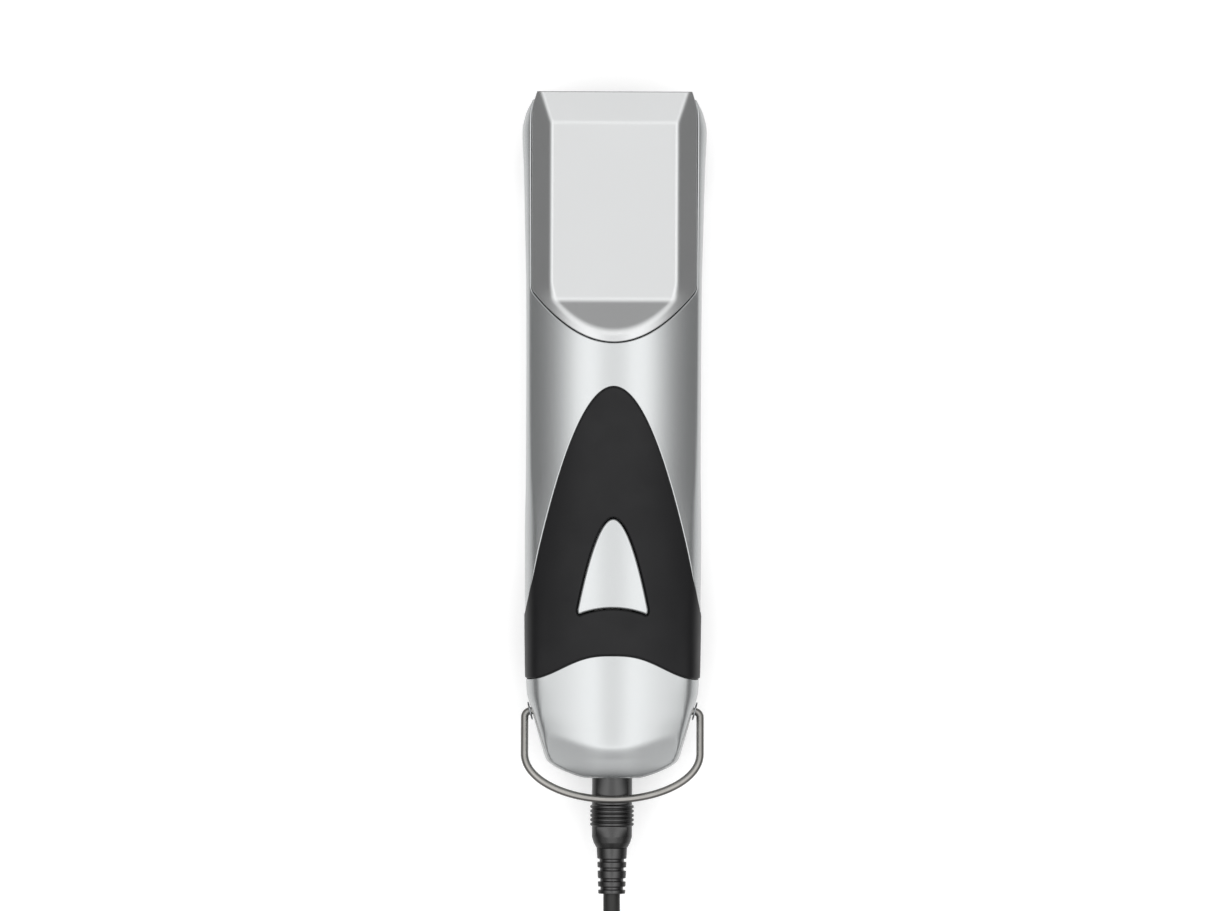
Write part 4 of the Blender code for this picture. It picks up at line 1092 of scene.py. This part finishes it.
def smooth_line(route, per_leg=12):
    """Catmull-Rom through the route's points."""
    route = [Vector(p) for p in route]
    ends = [route[0] * 2 - route[1], *route, route[-1] * 2 - route[-2]]
    made = []
    for a, b, c, d in zip(ends, ends[1:], ends[2:], ends[3:]):
        for k in range(per_leg):
            t = k / per_leg
            square = 2 * a - 5 * b + 4 * c - d
            cube = 3 * b - a - 3 * c + d
            made.append(0.5 * (2 * b + (c - a) * t + square * t**2 + cube * t**3))
    return made + [route[-1]]


def round_wire(name, points, radius, resolution, slot, body="housing"):
    curve = bpy.data.curves.new(name, "CURVE")
    curve.dimensions = "3D"
    curve.bevel_depth = radius * MM
    curve.bevel_resolution = resolution
    curve.use_fill_caps = True
    spline = curve.splines.new("POLY")
    spline.points.add(len(points) - 1)
    for point, place in zip(spline.points, points):
        point.co = (*(Vector(place) * MM), 1.0)
    spline.use_smooth = True
    return add_object(name, curve, slot, body)


def build_loop():
    """Bent wire: an end through each side of the housing, a tight bend, an arm and a rounded bow."""

    def at(x, depth):
        return (x, LOOP_PIVOT_Y - depth * math.cos(LOOP_TILT), LOOP_PIVOT_Z + depth * math.sin(LOOP_TILT))

    bend, bow = 1.6, 11.1
    half = [(16.8, 0.0), (19.4, 0.0)]
    half += [(LOOP_HALF - bend + bend * sin, bend - bend * cos) for cos, sin in arc(12)]
    half += [(LOOP_HALF, 5.0), (LOOP_HALF, 8.0)]
    half += [(LOOP_HALF * cos, bow + (LOOP_DEPTH - bow) * sin) for cos, sin in arc(36)]
    route = [at(x, d) for x, d in half]
    route += [(-x, y, z) for x, y, z in reversed(route[:-1])]
    loop = round_wire("wire_loop", route, LOOP_WIRE_R, 8, "wire", "loop")
    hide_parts("hanging_loop")


def hank_points():
    """Nine passes of the lead round a long loop: three lanes, three layers."""
    inner, middle, outer = HANK_LANES
    passes = [(outer, 0), (middle, 0), (inner, 0), (inner, 1), (middle, 1)]
    passes += [(inner, 2), (middle, 2), (outer, 2), (outer, 1)]
    points = []
    lane, height = outer, 0.5 * HANK_LAYER
    for count, (radius, layer) in enumerate(passes):
        level = (layer + 0.5) * HANK_LAYER
        for i in range(7):
            t = i / 6.0
            ease = t * t * (3 - 2 * t)
            y = HANK_NEAR_Y + (HANK_FAR_Y - HANK_NEAR_Y) * t
            points.append((lane + (radius - lane) * ease, y, height + (level - height) * ease))
        lane, height = radius, level
        if count == len(passes) - 1:
            break
        for cos, sin in arc(12, 1.0)[1:]:
            points.append((radius * cos, HANK_FAR_Y - radius * sin, level))
        for i in range(1, 4):
            points.append((-radius, HANK_FAR_Y + (HANK_NEAR_Y - HANK_FAR_Y) * i / 4.0, level))
        for cos, sin in arc(12, 1.0)[:-1]:
            points.append((-radius * cos, HANK_NEAR_Y + radius * sin, level))
    return points


def build_cord():
    points = smooth_line(LEAD_ROUTE + hank_points() + TAIL_ROUTE, 3)
    cord = round_wire("lead", points, LEAD_R, 5, "cord")
    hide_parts("cord_lead", "cord_hank", "cord_tail")


# ---- tie and adapter


def lofted(name, rings, slot, sharp=40.0):
    """A closed body through rings of the same number of points, with flat ends."""
    count = len(rings[0])
    points = [p for ring in rings for p in ring]
    faces = [tuple(range(count))[::-1], tuple(range((len(rings) - 1) * count, len(rings) * count))]
    for k in range(len(rings) - 1):
        for i in range(count):
            j = (i + 1) % count
            faces.append((k * count + i, k * count + j, (k + 1) * count + j, (k + 1) * count + i))
    return add_object(name, new_mesh(name, points, faces, sharp), slot)


def round_rectangle(half_x, low_z, high_z, radius, count=8):
    """Points (x, z) round a rectangle with round corners, counter-clockwise."""
    right, high, low = half_x - radius, high_z - radius, low_z + radius
    points = []
    for quarter, (x, z) in enumerate(((right, high), (-right, high), (-right, low), (right, low))):
        for i in range(count + 1):
            angle = math.pi * (0.5 * quarter + 0.5 * i / count)
            points.append((x + radius * math.cos(angle), z + radius * math.sin(angle)))
    return points


def build_tie():
    """Hook-and-loop strap over the hank, with its free end lapped over the top."""
    middle = 0.5 * (HANK_NEAR_Y + HANK_FAR_Y)
    half, top, thick = 21.0 + LEAD_R + 0.25, 3 * HANK_LAYER + 0.15, 1.1

    def arch(grow):
        side, high, corner = half + grow, top + grow, 3.0 + grow
        points = [(side, 0.15)]
        points += [(side - corner + corner * cos, high - corner + corner * sin) for cos, sin in arc(8)]
        return points + [(-x, z) for x, z in reversed(points)]

    rings = []
    for y, pull in ((-6.0, 0.25), (-5.8, 0.06), (-5.5, 0.0), (5.5, 0.0), (5.8, 0.06), (6.0, 0.25)):
        outer = arch(thick - pull)
        inner = arch(pull)[::-1]
        rings.append([(x, middle + y, z) for x, z in outer + inner])
    strap = lofted("hank_strap", rings, "strap")
    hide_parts("hank_tie")
    lap = []
    for y, pull in ((-5.2, 0.3), (-4.9, 0.0), (4.9, 0.0), (5.2, 0.3)):
        low, high = top + thick + 0.02, top + thick + 1.0 - pull
        shape = [(14.0 - pull, low), (14.0 - pull, high - 0.25), (13.6 - pull, high)]
        shape += [(-15.0, high), (-15.4, low)]
        lap.append([(x, middle + y, z) for x, z in shape])
    tab = lofted("hank_strap_end", lap, "strap")
    return [strap, tab]


def supply_rings():
    """Outlines of the supply's body, from its pin end to its lead end: two half shells with a joint line."""
    start, end = ADAPTER_Y, ADAPTER_Y - ADAPTER_LENGTH
    seam = start - 0.62 * ADAPTER_LENGTH
    stops = [(start - 3.0 * (1 - cos), 3.0 * (1 - sin)) for cos, sin in arc(7)]
    stops += [(seam + 0.45, 0.0), (seam + 0.3, 0.12), (seam + 0.22, 0.5)]
    stops += [(seam - 0.22, 0.5), (seam - 0.3, 0.12), (seam - 0.45, 0.0)]
    stops += [(end + 1.2 - 1.2 * sin, 1.2 * (1 - cos)) for cos, sin in arc(6)]
    rings = []
    for y, pull in reversed(stops):
        outline = round_rectangle(ADAPTER_HALF - pull, pull, ADAPTER_HEIGHT - pull, 5.0 - 0.5 * pull)
        rings.append([(x, y, z) for x, z in reversed(outline)])
    return rings


def build_supply_boot():
    profile = [(2.25, 0.0), (4.2, 0.0), (4.2, 0.6), (3.9, 1.6), (3.4, 2.2), (3.8, 2.8)]
    profile += [(3.3, 3.9), (3.6, 4.5), (3.1, 5.8), (3.1, 7.7), (2.25, 7.7)]

    def placed(a, b, along):
        return (a, ADAPTER_Y + 0.3 + along, SUPPLY_LEAD_Z + b)

    boot = turned("supply_boot", rounded(profile, 0.25), placed, "black")
    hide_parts("adapter_strain_relief")
    return boot


def build_supply_pin(number, x):
    base = ADAPTER_Y - ADAPTER_LENGTH - 0.3
    rings = []
    for y, pull in ((base + 1.0, 0.0), (base - 15.0, 0.0), (base - 16.2, 0.25), (base - 16.9, 0.62)):
        outline = round_rectangle(0.75 - pull, 10.35 + pull, 16.65 - pull, 0.12, 3)
        rings.append([(x + dx, y, z) for dx, z in outline])
    pin = lofted(f"supply_pin_{number}", rings, "brass", 30.0)
    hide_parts(f"adapter_pin_{number}")
    return pin


def build_adapter():
    """Moulded plug-in supply with a boot on its lead and two flat pins."""
    body = lofted("supply_body", supply_rings(), "black")
    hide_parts("adapter_body")
    boot = build_supply_boot()
    return [body, boot, build_supply_pin(1, -SUPPLY_PIN_X), build_supply_pin(2, SUPPLY_PIN_X)]


# ---- CAD nodes that show


NODE_LOOKS = {
    "steel": [
        *[f"housing_screw_{i}" for i in (1, 2, 3, 4)],
        *("hinge_bracket", "hinge_pin", "hinge_screw_1", "hinge_screw_2", "latch_spring", "worm_shaft"),
        *("gear_axle", "lever_pin", "motor_bearing_rear", "motor_bearing_front", "button_spring"),
        "shaft_bearing",
    ],
    "steel_dark": ["blade_tongue", "blade_latch", "drive_link", "drive_lever", "drive_tip", "armature"],
    "nylon": ["worm_gear", "cooling_fan", "switch_plunger", "motor_endbell"],
    "can": ["motor_can"],
    "ferrite": ["magnet_left", "magnet_right"],
    "copper": ["commutator"],
    "carbon": ["brush_1", "brush_2"],
    "die_cast": ["bearing_block"],
    "black": ["switch_body", "dc_socket"],
    "board": ["circuit_board"],
}


def dress_nodes():
    for look, names in NODE_LOOKS.items():
        for name in names:
            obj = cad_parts[name]
            for slot in obj.material_slots:
                slot.link = "OBJECT"
                slot.material = LOOKS[look]


def main():
    make_camera()
    on_cord = build_connector() + build_tie() + build_adapter()
    build_cord()
    make_world()
    make_floor()
    make_fill()
    bpy.context.scene.view_settings.view_transform = "Standard"
    upper, lower = Skin(True), Skin(False)
    build_core("front_moulding", "front_shell")
    build_core("rear_moulding", "rear_shell")
    build_shell_tiles(upper, lower)
    build_grips(upper, lower)
    build_button(upper)
    build_cover()
    build_washers()
    build_loop()
    dress_nodes()


main()
